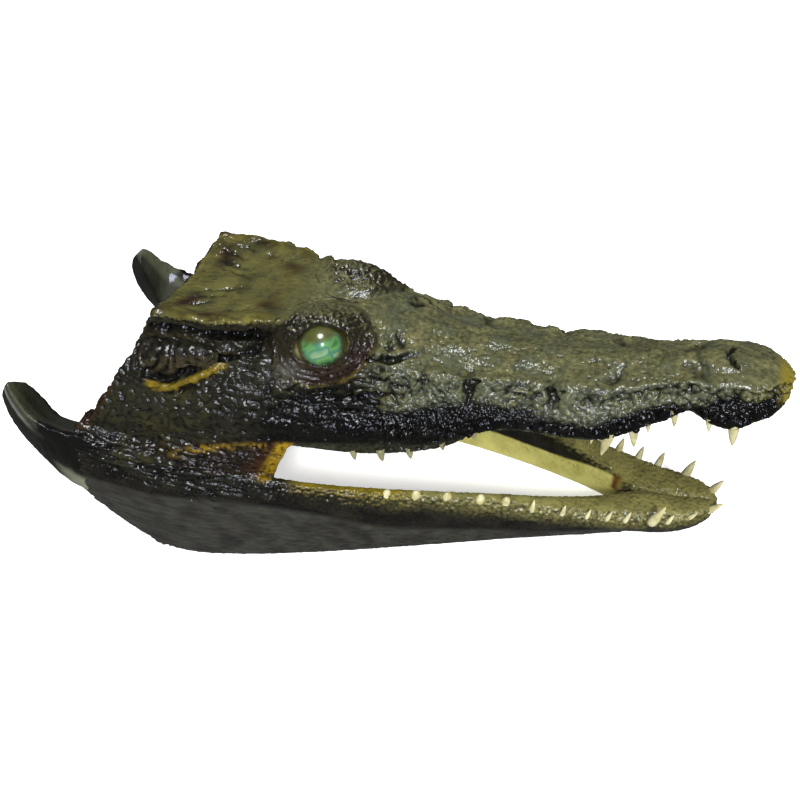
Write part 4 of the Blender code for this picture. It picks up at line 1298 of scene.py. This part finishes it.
def process_rings(side):
    """Rings of the scoop: three edges joined by rounded sides, with a hollow top."""
    along_it = np.concatenate([np.linspace(0, 0.94, 70), np.linspace(0.95, 1.0, 10)])
    edges = []
    for path in (PROCESS_OUTER, PROCESS_LOWER, PROCESS_INNER):
        knots = np.linspace(0, 1, len(path))
        columns = [smooth(np.column_stack([knots, column]))(along_it) for column in path.T]
        edges.append(np.stack(columns, axis=-1))
    middle = sum(edges) / 3
    rings = []
    for first, second, swell in zip(edges, edges[1:] + edges[:1], (0.22, 0.06, -0.16)):
        for t in np.linspace(0, 1, 14, endpoint=False):
            point = first * (1 - t) + second * t
            bulge = (1 - abs(2 * t - 1)) * swell if swell > 0.1 else 4 * t * (1 - t) * swell
            rings.append(point + (point - middle) * bulge)
    rings = np.stack(rings, axis=1)
    for _ in range(2):
        rings = (rings + 0.5 * np.roll(rings, 1, 1) + 0.5 * np.roll(rings, -1, 1)) / 2
    close = np.clip((1 - along_it) / 0.06, 0, 1)[:, None, None] ** 0.5
    close = close * (0.92 + 0.08 * fade(0.15, 0.45, along_it)[:, None, None])
    rings = middle[:, None] + (rings - middle[:, None]) * (0.05 + 0.95 * close)
    grain = noise(rings.reshape(-1, 3) * MM / (9, 2.2, 2.2), 71).reshape(rings.shape[:2])
    folds = noise(rings.reshape(-1, 3) * MM / (16, 2.6, 2.6), 73).reshape(rings.shape[:2])
    turn = edge_turn(rings)
    ridged = (valley(folds, 5) - 0.3) * process_collar(along_it[:, None], turn, rings)
    rings = rings + (rings - middle[:, None]) * (0.045 * grain - 0.09 * ridged)[..., None]
    return jaw_to_head(rings * (1, side, 1))


bone, bare = material("stained_varnished_bone")
cloud = sharpened(bone, speckle(bone, 9, Detail=5.0), 0.4, 0.62)
stained = mixed(bone, cloud, "#0d0e0a", "#171811")
# on the bone the pale streak is a painted highlight along the keel
BONE_COLOURS = (("hollow", "#2b2c22"), ("outer_face", "#33352a"), ("upper_rim", "#494b39"),
                ("streaks_and_painted_highlight", "#83857a"), ("collar", "#0b0b09"), ("scar", "#6b6d5a"))
for name, hex_code in BONE_COLOURS:
    stained = mixed(bone, mask(bone, name), stained, hex_code)
stained = mixed(bone, times(bone, cloud, 0.35), stained, "#0d0e0a")
plug(bone, bare, "Base Color", stained)
plug(bone, bare, "Normal", bumped(bone, speckle(bone, 1.4, Detail=4.0), 0.6, 0.0005))
settle(bare, Roughness=0.45, Specular_IOR_Level=0.12, Coat_Weight=0.35, Coat_Roughness=0.12)
for side, name in ((-1, "right"), (1, "left")):
    rings = process_rings(side)
    process = tube("bare_process_" + name, rings)
    turn = edge_turn(rings)
    back = np.linspace(0, 1, len(rings))[:, None]
    faces = {"hollow": fade(2.0, 2.2, turn), "outer_face": fade(0.36, 0.28, turn),
             "collar": process_collar(back, turn, rings),
             "upper_rim": np.maximum(fade(2.55, 2.75, turn), fade(0.12, 0.0, turn)),
             # painted highlight: a pale line along the keel, where the sharp edge catches the light
             "streaks_and_painted_highlight": bell(turn - 0.27, 0.05) * fade(0.45, 0.70, back) * fade(0.99, 0.95, back),
             "scar": fade(0.55, 0.70, turn) * fade(1.05, 0.90, turn) * fade(0.42, 0.30, back)}
    for key, values in faces.items():
        store(process, key, np.broadcast_to(values, rings.shape[:2]))
    process.data.materials.append(bone)
    process.data.shade_smooth()
    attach(process, "root")
    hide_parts("jaw_process_" + name)
print("process reaches", round((PROCESS_LOWER[-1, 0] - PROCESS_OUTER[1, 0]) * MM), "mm behind the jaw")

# %% [markdown]
# ## Floor and light
# A plain pale floor and a soft light from above, as in a shop photograph. A fill light
# from the camera's side shows the colours, and a cool light like a window is the one
# whose reflections make the sparks in the varnish.

# %% Floor, world and lamps
floor = mesh_object("floor", [(-9, -9, 0), (9, -9, 0), (9, 9, 0), (-9, 9, 0)], [(0, 1, 2, 3)])
pale, ground = material("matt_white_paper")
plug(pale, ground, "Base Color", mixed(pale, speckle(pale, 1.5, Detail=2.0), "#fbfbfa", "#f6f6f5"))
settle(ground, Roughness=0.9, Emission_Color=(1, 1, 1, 1), Emission_Strength=0.6)
floor.data.materials.append(pale)
floor.visible_glossy = False

world = bpy.data.worlds.new("studio")
bpy.context.scene.world = world
world.use_nodes = True
settle(world.node_tree.nodes["Background"], Color=(1, 1, 1, 1), Strength=0.09)


def lamp(name, azimuth, elevation, strength, spread, tint, in_gloss=True):
    """A distant studio lamp; azimuth runs from the camera's side (0) to the right (90)."""
    light = bpy.data.lights.new(name, "SUN")
    light.energy, light.angle, light.color = strength, math.radians(spread), colour(tint)[:3]
    made = bpy.data.objects.new(name, light)
    bpy.context.scene.collection.objects.link(made)
    a, e = math.radians(azimuth), math.radians(elevation)
    toward = Vector((math.sin(a) * math.cos(e), -math.cos(a) * math.cos(e), math.sin(e)))
    made.rotation_euler = toward.to_track_quat("Z", "Y").to_euler()
    made.visible_glossy = in_gloss
    return made


lamp("ceiling", 20, 76, 2.4, 18, "#f6f9ff")
lamp("fill", 28, 40, 2.9, 9, "#fffcf2", in_gloss=False)
lamp("window", 26, 36, 1.3, 11, "#dcdfff")
bpy.context.scene.view_settings.view_transform = "Standard"
print("lamps set")
